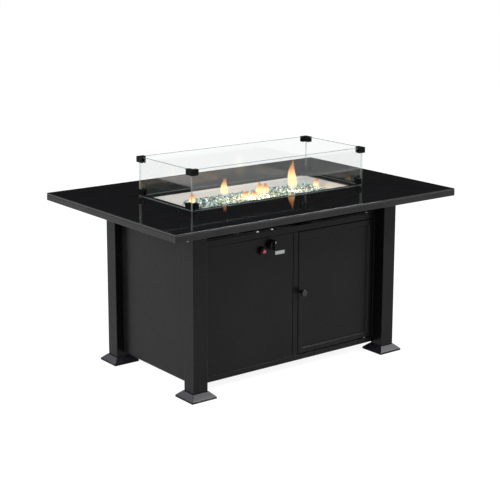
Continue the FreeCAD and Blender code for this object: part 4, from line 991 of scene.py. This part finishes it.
@dataclass
class Feet:
    """Flared plastic feet with a lip and eased edges; each plugs into its post. The upright band at each
    foot's base is painted darker as shade.
    """

    centre_x: float = 0.4325
    centre_y: float = 0.245
    base: float = 0.0515
    base_edge: float = 0.004
    top: float = 0.033
    low: float = 0.003
    high: float = 0.024
    wall: float = 0.004
    corner: float = 0.0016
    hollow_corner: float = 0.0015
    eased_corner: float = 0.0014
    hair: float = 0.0004
    ease: float = 0.0006
    lip: Pair = (0.0020, 0.0022)
    lip_bend: Pair = (0.0006, 0.0014)
    plug: float = 0.0272
    plug_top: float = 0.044
    plug_ease: float = 0.001
    plug_corner: float = 0.002

    def levels(self) -> list[Point]:
        """Give the foot's outline, from inside its hollow round its base and up to its plug.

        Returns:
            Each level's half width, height and radius of its corners.
        """
        base, top, low, high, wall = self.base, self.top, self.low, self.high, self.wall
        corner, rise, hair, ease = self.corner, self.low + self.base_edge, self.hair, self.ease
        return [(top - wall, high - wall, self.hollow_corner), (base - wall, low, self.hollow_corner),
                (base - hair, low, self.eased_corner), (base, low + hair, corner),
                (base, rise - hair, corner), (base - ease, rise + ease / 2, corner),
                (top + self.lip[0], high - self.lip[1], corner),
                (top + self.lip_bend[0], high - self.lip_bend[1], corner), (top, high - ease, corner),
                (top - ease, high, self.eased_corner), (self.plug, high, self.plug_corner),
                (self.plug, self.plug_top - self.plug_ease, self.plug_corner),
                (self.plug - self.plug_ease, self.plug_top, self.hollow_corner)]

    def build(self, name: str, side: int, end: int) -> bpy.types.Object:
        """Make one foot.

        Args:
            name: the piece's name.
            side: -1 for left, 1 for right.
            end: -1 for front, 1 for back.

        Returns:
            The foot.
        """
        mesh = bmesh.new()
        centre = (side * self.centre_x, end * self.centre_y)
        skin(mesh, [[(x, y, height) for x, y in rounded(half, half, corner, centre=centre)]
                    for half, height, corner in self.levels()])
        # The faces of the upright band at the base take the darker copy: painted shade.
        for face in mesh.faces:
            face.material_index = int(max(vertex.co.z for vertex in face.verts) < self.low + self.base_edge)
        return finished(name, mesh, FOOT, FOOT_BASE_SHADE)

    def dress(self) -> None:
        """Build all four feet and finish their pads."""
        for name, (side, end) in CORNERS.items():
            settle(self.build(f"flared_foot_{name}", side, end), Body.TABLE, "foot_plastic", f"foot_{name}")
        dress(RUBBER, "foot_pads")


@dataclass
class Cabinet:
    """Posts, panels, rails and the floor of the cabinet, with the tabletop and the frame's screws."""

    bend: float = 0.003
    rail_top: float = 0.538
    rail_screws: Pair = (-0.1545, -0.0905)
    screw_y: float = -0.2245
    post_screw: Point = (0.4615, 0.245, 0.557)
    seam: float = 0.0014
    seam_reach: float = 0.01

    def paint(self, kind: str, mesh: bmesh.types.BMesh, node: str) -> None:
        """Make a painted piece, named after its kind and the solid that it stands for."""
        settle(finished(f"{kind}_{node}", mesh, BLACK_STEEL), Body.TABLE, "black_steel", node)

    def bars(self) -> None:
        """Make the posts, the rails, the mullion and the jamb with their rounded edges."""
        for corner in CORNERS:
            self.paint("square", copied(f"post_{corner}"), f"post_{corner}")
        for node in ("top_rail_front", "bottom_rail_front", "door_mullion", "door_jamb"):
            self.paint("tube", eased(node, self.bend), node)

    def panels(self) -> None:
        """Make the folded panels; each is rounded where its flanges turn back."""
        facing = {"front_panel": (Axis.Y, -1), "back_panel": (Axis.Y, 1), "side_panel_left": (Axis.X, -1),
                  "side_panel_right": (Axis.X, 1)}
        for node, way in facing.items():
            mesh = eased(node, self.bend, way)
            if node == "front_panel":
                self.draw_in(mesh, node)
            self.paint("folded", mesh, node)

    def draw_in(self, mesh: bmesh.types.BMesh, node: str) -> None:
        """Draw a panel's ends in by a hair, so that a dark seam shows beside them.

        Args:
            mesh: the panel's mesh.
            node: the solid that it was copied from.
        """
        (left, _, _), (right, _, _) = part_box(node)
        for vertex in mesh.verts:
            if vertex.co.x < left + self.seam_reach:
                vertex.co.x += self.seam
            elif vertex.co.x > right - self.seam_reach:
                vertex.co.x -= self.seam

    def dress(self) -> None:
        """Make the sheet metal and the tabletop, set the screws and finish what lies inside."""
        self.bars()
        self.panels()
        dress(BLACK_STEEL, "base_shelf", "tank_ring", "bearer_left", "bearer_right", "pan_bearer_front",
              "pan_bearer_back", "valve_bracket", "magnet_catch")
        settle(finished("tabletop_pane", copied("tabletop_glass"), TOP_GLASS), Body.TABLE, "top_glass",
               "tabletop_glass")
        dress(ZINC, "door_pivot_pins")
        x, y, z = self.post_screw
        spots = [((place, self.screw_y, self.rail_top), (0.0, 0.0, 1.0)) for place in self.rail_screws]
        spots += [((side * x, end * y, z), (float(side), 0.0, 0.0)) for side in (-1, 1) for end in (-1, 1)]
        # The heads take the brighter copy of the zinc: partly bright metal, partly a painted highlight.
        Screws().build("frame_screw_heads", Body.TABLE, "zinc_steel", SCREW_GLINT, spots, "frame_screws")


@dataclass
class Door:
    """The pressed door leaf with its soft bends, its knob and small parts."""

    border: float = 0.018
    top_border: float = 0.023
    recess: float = 0.006
    slope: float = 0.0035
    bend: float = 0.003
    soft: float = 0.002
    soft_bend: tuple[Pair, ...] = ((-1.0, 0.0), (-0.45, 0.12), (0.0, 0.38), (0.3, 0.8))
    corner: float = 0.003
    least_corner: float = 0.0005
    sheet: float = 0.0012
    knob: Point = (0.0385, -0.230, 0.292)
    knob_neck: tuple[Pair, ...] = ((0.006, 0.0), (0.006, -0.0135), (0.0066, -0.0152))
    knob_flare: tuple[Pair, ...] = ((0.0112, -0.0165), (0.0126, -0.0176), (0.013, -0.0196))
    knob_rim: Pair = (0.009, -0.0232)
    knob_ease: float = 0.004
    knob_face: float = -0.0271

    def __post_init__(self) -> None:
        """Take the leaf's outline from its imported solid."""
        (self.left, self.front, self.low), (self.right, self.back, self.high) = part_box("door_leaf")

    def outline(self, inset: float, drop: float, place: float, corner: float) -> list[Point]:
        """Give one loop of the leaf.

        Args:
            inset: how far it lies inside the left, right and low edges.
            drop: how far it lies under the high edge.
            place: where it lies along Y.
            corner: the radius of its corners.

        Returns:
            The loop's points.
        """
        half_x = (self.right - self.left) / 2 - inset
        bottom, top = self.low + inset, self.high - drop
        centre = ((self.left + self.right) / 2, (bottom + top) / 2)
        return [(x, place, z) for x, z in rounded(half_x, (top - bottom) / 2, corner, 5, centre)]

    def leaf(self) -> bpy.types.Object:
        """Press the leaf out of one sheet: a rounded border, a sloping step and a set-back middle.

        Returns:
            The leaf.
        """
        folds = fillet((self.bend, self.bend), self.bend, 180, 270)
        steps = [(self.soft * run, self.soft * depth) for run, depth in self.soft_bend]
        face = [(0.0, 0.0, self.back, self.bend)]
        face += [(inset, inset, self.front + depth, self.bend) for inset, depth in folds]
        face += [(self.border + run, self.top_border + run, self.front + depth, self.corner + max(run, 0.0))
                 for run, depth in (*steps, (self.slope, self.recess))]
        loops = [self.outline(*level) for level in face]
        inner = []
        for index, (inset, drop, place, corner) in enumerate(face):
            shift = self.sheet if index <= len(folds) else 0.0
            inner.append(self.outline(inset + shift, drop + shift, min(place + self.sheet, self.back),
                                      max(corner - shift, self.least_corner)))
        mesh = bmesh.new()
        skin(mesh, loops[::-1] + inner)
        return finished("pressed_door_leaf", mesh, BLACK_STEEL)

    def handle(self) -> bpy.types.Object:
        """Turn the knob: a neck, a flared underside and a head with a rounded rim.

        Returns:
            The knob.
        """
        mesh = bmesh.new()
        rim = fillet(self.knob_rim, self.knob_ease, 0, -90, steps=6)
        profile = [*self.knob_neck, *self.knob_flare, *rim, (CAP, self.knob_face)]
        turned(mesh, profile, Axis.Y, self.knob, steps=48)
        return finished("round_door_knob", mesh, DOOR_KNOB)

    def dress(self) -> None:
        """Build the leaf and its knob and finish the small parts."""
        settle(self.leaf(), Body.DOOR, "black_steel", "door_leaf")
        settle(self.handle(), Body.DOOR, "knob_black", "door_knob")
        dress(ZINC, "strike_plate", "door_knob_screw")
        dress(NYLON, "door_bushes")


@dataclass
class Controls:
    """The gas knob, the igniter with its red button, and the blank plate."""

    knob: Point = (-0.097, -0.236, 0.486)
    skirt: tuple[Pair, ...] = ((0.0182, 0.0), (0.0182, -0.0032), (0.0178, -0.0038), (0.0172, -0.0042))
    base: tuple[Pair, ...] = ((0.0168, -0.0108), (0.0162, -0.0117), (0.0150, -0.0121))
    grip_half: Pair = (0.0035, 0.0168)
    grip_depth: Pair = (0.020, 0.0105)
    grip_corner: float = 0.003
    grip_ease: float = 0.0012
    mark_half: float = 0.0006
    mark_depth: Pair = (0.0203, 0.0195)
    mark_span: Pair = (0.006, 0.0158)
    mark_corner: float = 0.0005
    igniter: Point = (-0.139, -0.230, 0.470)
    button: float = 0.007
    button_seat: float = -0.236
    button_rim: Pair = (0.0055, -0.2465)
    button_ease: float = 0.0015
    button_face: float = -0.2483
    plate: Point = (-0.0575, -0.230, 0.4523)
    plate_half: Pair = (0.021, 0.0065)
    plate_sheet: float = 0.001
    plate_corner: float = 0.0012
    plate_ease: float = 0.0003

    def gas_knob(self) -> bpy.types.Object:
        """Make the knob: a skirt, a round base and a raised grip bar with a white line, which is partly a
        pointer mark and partly a painted highlight.

        Returns:
            The knob.
        """
        mesh = bmesh.new()
        x, y, z = self.knob
        half, tall = self.grip_half
        out, root = self.grip_depth
        turned(mesh, [*self.skirt, *self.base, (CAP, self.base[-1][1])], Axis.Y, self.knob, steps=56)
        slab(mesh, (x - half, y - out, z - tall), (x + half, y - root, z + tall), Axis.X, self.grip_corner,
             self.grip_ease)
        count = len(mesh.faces)
        # The white line is partly a pointer mark and partly a painted highlight on the grip bar.
        half, (out, root), (start, end) = self.mark_half, self.mark_depth, self.mark_span
        slab(mesh, (x - half, y - out, z + start), (x + half, y - root, z + end), Axis.Y, self.mark_corner,
             LEAST_CORNER)
        mesh.faces.ensure_lookup_table()
        for face in mesh.faces[count:]:
            face.material_index = 1
        return finished("gas_control_knob", mesh, KNOB, CERAMIC)

    def push_button(self) -> bpy.types.Object:
        """Turn the igniter's button with its rounded rim.

        Returns:
            The button.
        """
        mesh = bmesh.new()
        rim = fillet(self.button_rim, self.button_ease, 0, -90)
        turned(mesh, [(self.button, self.button_seat), *rim, (CAP, self.button_face)], Axis.Y,
               (self.igniter[0], 0.0, self.igniter[2]))
        return finished("red_button", mesh, RED)

    def blank_plate(self) -> bpy.types.Object:
        """Make the bare plate on the panel.

        Returns:
            The plate.
        """
        mesh = bmesh.new()
        x, y, z = self.plate
        half, tall = self.plate_half
        slab(mesh, (x - half, y - self.plate_sheet, z - tall), (x + half, y, z + tall), Axis.Y,
             self.plate_corner, self.plate_ease)
        return finished("blank_metal_plate", mesh, PLATE)

    def dress(self) -> None:
        """Build the controls and finish what lies behind the panel."""
        settle(self.gas_knob(), Body.GAS_KNOB, "knob_black", "gas_knob")
        dress(KNOB, "igniter_housing", "igniter_nut")
        settle(self.push_button(), Body.IGNITER, "button_red", "igniter_button")
        settle(self.blank_plate(), Body.TABLE, "zinc_steel", "label_plate")
        dress(JACKET, "igniter_battery")
        dress(CAST, "gas_valve_body", "gas_pipe")
        dress(BRASS, "gas_inlet_fitting", "valve_collar")
        dress(STEM, "valve_stem")


@dataclass
class FireGlass:
    """A heap of crushed glass: a core of three levels under some nine hundred small chips; the core is
    painted dark as the shade between them.
    """

    floor: Area = (-0.254, 0.299, -0.0785, 0.0785)
    edge: Area = (-0.242, 0.3235, -0.1025, 0.1025)
    crown: Area = (-0.206, 0.287, -0.066, 0.066)
    low: float = 0.5925
    shoulder: float = 0.6055
    top: float = 0.6105
    sink: float = 0.003
    corner: float = 0.012
    chip: float = 0.0074
    least_chip: Point = (0.55, 0.5, 0.35)
    most_chip: Point = (1.25, 1.0, 0.8)
    spacing: float = 0.0078
    density: float = 60000.0
    least_slope: float = 0.05
    crush_scale: float = 260.0
    crush: float = 0.0075
    seed: int = 7

    def core(self) -> bpy.types.Object:
        """Make the core, a little lower than the heap's own levels.

        Returns:
            The core.
        """
        loops = []
        for (left, right, front, back), height in ((self.floor, self.low), (self.edge, self.shoulder),
                                                   (self.crown, self.top)):
            centre = ((left + right) / 2, (front + back) / 2)
            outline = rounded((right - left) / 2, (back - front) / 2, self.corner, centre=centre)
            loops.append([(x, y, height - self.sink) for x, y in outline])
        mesh = bmesh.new()
        skin(mesh, loops)
        return finished("fire_glass_core", mesh, CHIPS)

    def build(self) -> bpy.types.Object:
        """Strew chips over the core with a geometry tree and bake them.

        Returns:
            The heap.
        """
        core = self.core()
        recipe = Recipe("crushed_glass")
        tree = recipe.tree
        gap = recipe.take("Spacing", "NodeSocketFloat", self.spacing)
        size = recipe.take("Chip size", "NodeSocketFloat", self.chip)
        seed = recipe.take("Seed", "NodeSocketInt", self.seed)
        ground = recipe.start.outputs[0]
        normal = tree.add("GeometryNodeInputNormal").outputs[0]
        upward = tree.add("ShaderNodeSeparateXYZ", {0: normal}).outputs[2]
        points = tree.add("GeometryNodeDistributePointsOnFaces", {
            "Mesh": ground, "Selection": tree.sum("GREATER_THAN", upward, self.least_slope),
            "Distance Min": gap, "Density Max": self.density, "Seed": seed}, distribute_method="POISSON")
        turn = recipe.shuffle((0.0, 0.0, 0.0), (ROUND, ROUND, ROUND), seed)
        scale = recipe.shuffle(self.least_chip, self.most_chip, seed)
        grow = tree.add("ShaderNodeVectorMath", {0: scale, 3: size}, operation="SCALE")
        chip = tree.add("GeometryNodeMeshIcoSphere", {"Radius": 1.0, "Subdivisions": 1})
        strewn = tree.add("GeometryNodeInstanceOnPoints", {
            "Points": points.outputs[0], "Instance": chip.outputs[0], "Rotation": turn,
            "Scale": grow.outputs[0]})
        tint = tree.add("FunctionNodeRandomValue", {2: CHIP_TINTS[0], 3: CHIP_TINTS[1], "Seed": seed},
                        data_type="FLOAT")
        marked = tree.add("GeometryNodeStoreNamedAttribute", {
            "Geometry": strewn.outputs[0], "Name": "tint", "Value": tint.outputs[1]},
            data_type="FLOAT", domain="INSTANCE")
        real = tree.add("GeometryNodeRealizeInstances", {0: marked.outputs[0]})
        spot = tree.add("GeometryNodeInputPosition").outputs[0]
        crush = tree.add("ShaderNodeTexNoise", {"Vector": spot, "Scale": self.crush_scale, "Detail": 1.0})
        shift = tree.add("ShaderNodeVectorMath", {0: crush.outputs[1], 1: (0.5, 0.5, 0.5)},
                         operation="SUBTRACT")
        shift = tree.add("ShaderNodeVectorMath", {0: shift.outputs[0], 3: self.crush}, operation="SCALE")
        crushed = tree.add("GeometryNodeSetPosition", {"Geometry": real.outputs[0],
                                                       "Offset": shift.outputs[0]})
        flat = tree.add("GeometryNodeSetShadeSmooth", {"Geometry": crushed.outputs[0],
                                                       "Shade Smooth": False})
        both = tree.add("GeometryNodeJoinGeometry", {0: flat.outputs[0]})
        tree.tree.links.new(ground, both.inputs[0])
        core.name = "fire_glass_chips"
        return recipe.bake(core, both.outputs[0], CHIPS)

    def dress(self) -> None:
        """Fill the pan with chips."""
        settle(self.build(), Body.TABLE, "fire_glass", "fire_glass_bed")


@dataclass(frozen=True)
class Tongue:
    """One flame's place and shape, and the power of the small lamp beside it."""

    x: float
    y: float
    foot: float
    tip: float
    width: float
    lean: float
    seed: int
    light: float


@dataclass
class Flames:
    """Gas flames over the burner, each of three thin crossed blades."""

    tongues: tuple[Tongue, ...] = (
        Tongue(-0.1305, 0.0, 0.622, 0.694, 0.032, 0.004, 3, 0.3),
        Tongue(0.030, 0.0, 0.606, 0.662, 0.032, -0.004, 5, 0.5),
        Tongue(0.187, 0.0, 0.602, 0.724, 0.040, 0.0, 8, 0.4),
        Tongue(0.303, 0.0, 0.604, 0.642, 0.026, 0.003, 11, 0.12),
        Tongue(-0.275, 0.0, 0.606, 0.656, 0.028, 0.003, 19, 0.1),
        Tongue(0.060, 0.004, 0.606, 0.652, 0.030, 0.005, 23, 0.25),
        Tongue(-0.040, -0.004, 0.604, 0.634, 0.036, 0.008, 13, 0.4),
        Tongue(0.000, -0.008, 0.602, 0.630, 0.042, -0.006, 29, 0.45),
    )
    rows: int = 22
    sides: int = 16
    thickness: float = 0.003
    thinning: float = 0.5
    belly: float = 0.62
    fullness: float = 0.85
    last_belly: float = 0.985
    tip: float = 0.03
    taper: float = 0.25
    sway: Pair = (0.10, 0.16)
    waves: float = 5.5
    turns: Point = (-38.0, 22.0, 82.0)
    lamp_colour: Colour = (1.0, 0.60, 0.32)
    lamp_size: float = 0.012
    lamp_shift: Point = (-0.012, -0.028, 0.026)

    def half_width(self, tongue: Tongue, share: float) -> float:
        """Give half a flame's width at a share of its height."""
        belly = math.sin(math.pi * min(share, self.last_belly) ** self.belly) ** self.fullness
        return 0.5 * tongue.width * (belly + self.tip) * (1.0 - self.taper * share)

    def blade(self, mesh: bmesh.types.BMesh, tongue: Tongue, angle: float) -> None:
        """Add one closed blade.

        Args:
            mesh: what to add it to; it holds the layers height and core.
            tongue: the flame.
            angle: the blade's direction seen from above, in radians.
        """
        rng = random.Random(tongue.seed)
        phase, sway = rng.uniform(0, ROUND), rng.uniform(*self.sway) * tongue.width
        start = len(mesh.verts)
        loops, marks = [], []
        for row in range(self.rows + 1):
            share = row / self.rows
            half = self.half_width(tongue, share)
            lift = tongue.foot + (tongue.tip - tongue.foot) * share
            drift = sway * math.sin(phase + self.waves * share) * share + tongue.lean * share * share
            loop = []
            for side in range(self.sides):
                turn = 2 * math.pi * side / self.sides
                across = half * math.cos(turn) + drift
                thick = self.thickness / 2 * math.sin(turn) * (1 - self.thinning * share)
                loop.append((tongue.x + across * math.cos(angle) - thick * math.sin(angle),
                             tongue.y + across * math.sin(angle) + thick * math.cos(angle), lift))
                marks.append((share, abs(math.sin(turn))))
            loops.append(loop)
        skin(mesh, loops)
        mesh.verts.ensure_lookup_table()
        layers = mesh.verts.layers.float
        for vertex, (share, middle) in zip(mesh.verts[start:], marks):
            vertex[layers["height"]] = share
            vertex[layers["core"]] = middle

    def build(self) -> bpy.types.Object:
        """Make all blades of all flames.

        Returns:
            The flames.
        """
        mesh = bmesh.new()
        mesh.verts.layers.float.new("height")
        mesh.verts.layers.float.new("core")
        for tongue in self.tongues:
            for turn in self.turns:
                self.blade(mesh, tongue, math.radians(turn))
        return finished("gas_flames", mesh, FLAME, sharp=80.0)

    def dress(self) -> None:
        """Light the burner, with a small lamp beside each flame that no mirror shows."""
        settle(self.build(), Body.TABLE, "fire_glass")
        for tongue in self.tongues:
            lamp = bpy.data.lights.new("flame_light", "POINT")
            lamp.energy = tongue.light
            lamp.color = self.lamp_colour
            lamp.shadow_soft_size = self.lamp_size
            spot = added("flame_light", lamp)
            spot.location = Vector((tongue.x, tongue.y, tongue.foot)) + Vector(self.lamp_shift)
            spot.visible_glossy = False


@dataclass
class Burner:
    """The pan and the burner under the glass chips."""

    def dress(self) -> None:
        """Finish the pan, the tube and the sensors."""
        dress(PAN_STEEL, "burner_pan")
        dress(TUBE_STEEL, "burner_tube")
        dress(ZINC, "burner_mixer", "thermocouple")
        dress(CERAMIC, "ignition_electrode")


@dataclass
class WindGuard:
    """Four glass panes held at their corners by black clips."""

    pane_edge: float = 0.0013
    clip_edge: float = 0.0009
    facing: float = 0.99
    upward: float = 0.3

    def pane(self, side: str) -> bpy.types.Object:
        """Make one pane with ground edges.

        Args:
            side: front, back, left or right.

        Returns:
            The pane.
        """
        axis = Axis.Y if side in ("front", "back") else Axis.X
        mesh = softened(f"guard_pane_{side}", self.pane_edge)
        mesh.normal_update()
        for face in mesh.faces:
            # Top and bottom edges take the darker copy, which paints refraction's shade.
            kind = PaneFace.LEVEL if abs(face.normal.z) > self.upward else PaneFace.END
            if abs(face.normal[axis.value]) > self.facing:
                kind = PaneFace.SIDE
            face.material_index = kind.value
        return finished(f"clear_pane_{side}", mesh, PANE, PANE_EDGE, PANE_LEVEL_SHADE)

    def dress(self) -> None:
        """Build the panes and the clips."""
        for side in ("front", "back", "left", "right"):
            settle(self.pane(side), Body.GUARD, "guard_glass", f"guard_pane_{side}")
        pairs = (("top_corner_clips", "guard_top_clips"), ("low_corner_clips", "guard_bottom_clips"))
        for name, node in pairs:
            clips = finished(name, softened(node, self.clip_edge), CLIP_PAINT)
            settle(clips, Body.GUARD, "clip_black", node)


# Floor, lamps and camera


@dataclass(frozen=True)
class SoftBox:
    """A large soft lamp that points at the table."""

    name: str
    spot: Point
    size: Pair
    power: float
    aim: Point = (0.0, 0.0, 0.45)

    def hang(self) -> None:
        """Put the lamp in its place."""
        lamp = bpy.data.lights.new(self.name, "AREA")
        lamp.shape = "RECTANGLE"
        lamp.size, lamp.size_y = self.size
        lamp.energy = self.power
        holder = added(self.name, lamp)
        holder.location = self.spot
        holder.rotation_mode = "QUATERNION"
        holder.rotation_quaternion = (Vector(self.aim) - Vector(self.spot)).to_track_quat("-Z", "Y")


@dataclass
class Studio:
    """A pale floor under a softly lit, dark-walled room, and the camera."""

    floor_reach: float = 150.0
    wall: float = 0.014
    ceiling: float = 0.85
    ceiling_span: Pair = (0.30, 0.62)
    daylight: Colour = (0.97, 0.985, 1.0)
    lamps: tuple[SoftBox, ...] = (
        SoftBox("key_left", (-4.0, 0.3, 2.3), (1.8, 1.2), 230.0),
        SoftBox("front", (0.9, -4.0, 2.15), (2.2, 0.7), 45.0),
        SoftBox("front_right", (2.42, -2.71, 3.08), (1.4, 0.5), 150.0, (0.0, -0.25, 0.35)),
        SoftBox("edge_strip", (-0.8, -1.5, 2.6), (2.5, 0.3), 12.0, (0.0, -0.3, 0.6)),
    )
    eye: Point = (-2.852369, -3.685543, 1.574570)
    azimuth: float = -37.602
    elevation: float = 11.878
    roll: float = 0.193
    lens: float = 93.417
    sensor: float = 36.0
    shift: float = -0.1
    sight: float = 500.0

    def floor(self) -> None:
        """Lay the floor."""
        mesh = bmesh.new()
        reach = self.floor_reach
        mesh.faces.new([mesh.verts.new((side * reach, end * reach, 0.0))
                        for side, end in ((-1, -1), (1, -1), (1, 1), (-1, 1))])
        finished("studio_floor", mesh, StudioFloor("studio_floor"))

    def room(self) -> None:
        """Make the room: dark walls and a light ceiling, behind a plain white backdrop."""
        world = bpy.data.worlds.new("studio_room")
        world.use_nodes = True
        world.node_tree.nodes.clear()
        tree = Tree(world.node_tree)
        way = tree.add("ShaderNodeTexCoord").outputs["Generated"]
        height = tree.add("ShaderNodeSeparateXYZ", {0: way}).outputs[2]
        level = tree.remap(height, self.ceiling_span, (self.wall, self.ceiling))
        seen = tree.add("ShaderNodeLightPath").outputs["Is Camera Ray"]
        level = tree.sum("MAXIMUM", level, seen)
        sky = tree.add("ShaderNodeBackground", {"Color": (*self.daylight, 1.0), "Strength": level})
        tree.add("ShaderNodeOutputWorld", {"Surface": sky.outputs[0]})
        bpy.context.scene.world = world

    def camera(self) -> None:
        """Set the camera where the photograph was taken from."""
        angle, rise, roll = (math.radians(value) for value in (self.azimuth, self.elevation, self.roll))
        back = Vector((math.sin(angle) * math.cos(rise), -math.cos(angle) * math.cos(rise), math.sin(rise)))
        right = Vector((math.cos(angle), math.sin(angle), 0.0))
        up = back.cross(right)
        level = right * math.cos(roll) + up * math.sin(roll)
        top = up * math.cos(roll) - right * math.sin(roll)
        data = bpy.data.cameras.new("photo_camera")
        data.lens = self.lens
        data.sensor_width = self.sensor
        data.shift_y = self.shift
        data.clip_end = self.sight
        camera = added("photo_camera", data)
        turn = Matrix((level, top, back)).transposed()
        camera.matrix_world = Matrix.Translation(Vector(self.eye)) @ turn.to_4x4()
        bpy.context.scene.camera = camera

    def build(self) -> None:
        """Set up the floor, the room, the lamps and the camera."""
        self.floor()
        self.room()
        for lamp in self.lamps:
            lamp.hang()
        self.camera()
        bpy.context.scene.view_settings.view_transform = "Standard"
        LOG.info("studio with %d lamps", len(self.lamps))


def main() -> None:
    """Dress the whole table and set up the studio."""
    logging.basicConfig(level=logging.INFO, format="%(message)s")
    for part in (Rim(), Feet(), Cabinet(), Door(), Controls(), Burner(), FireGlass(), Flames(), WindGuard()):
        part.dress()
    Studio().build()


if __name__ == "__main__":
    main()
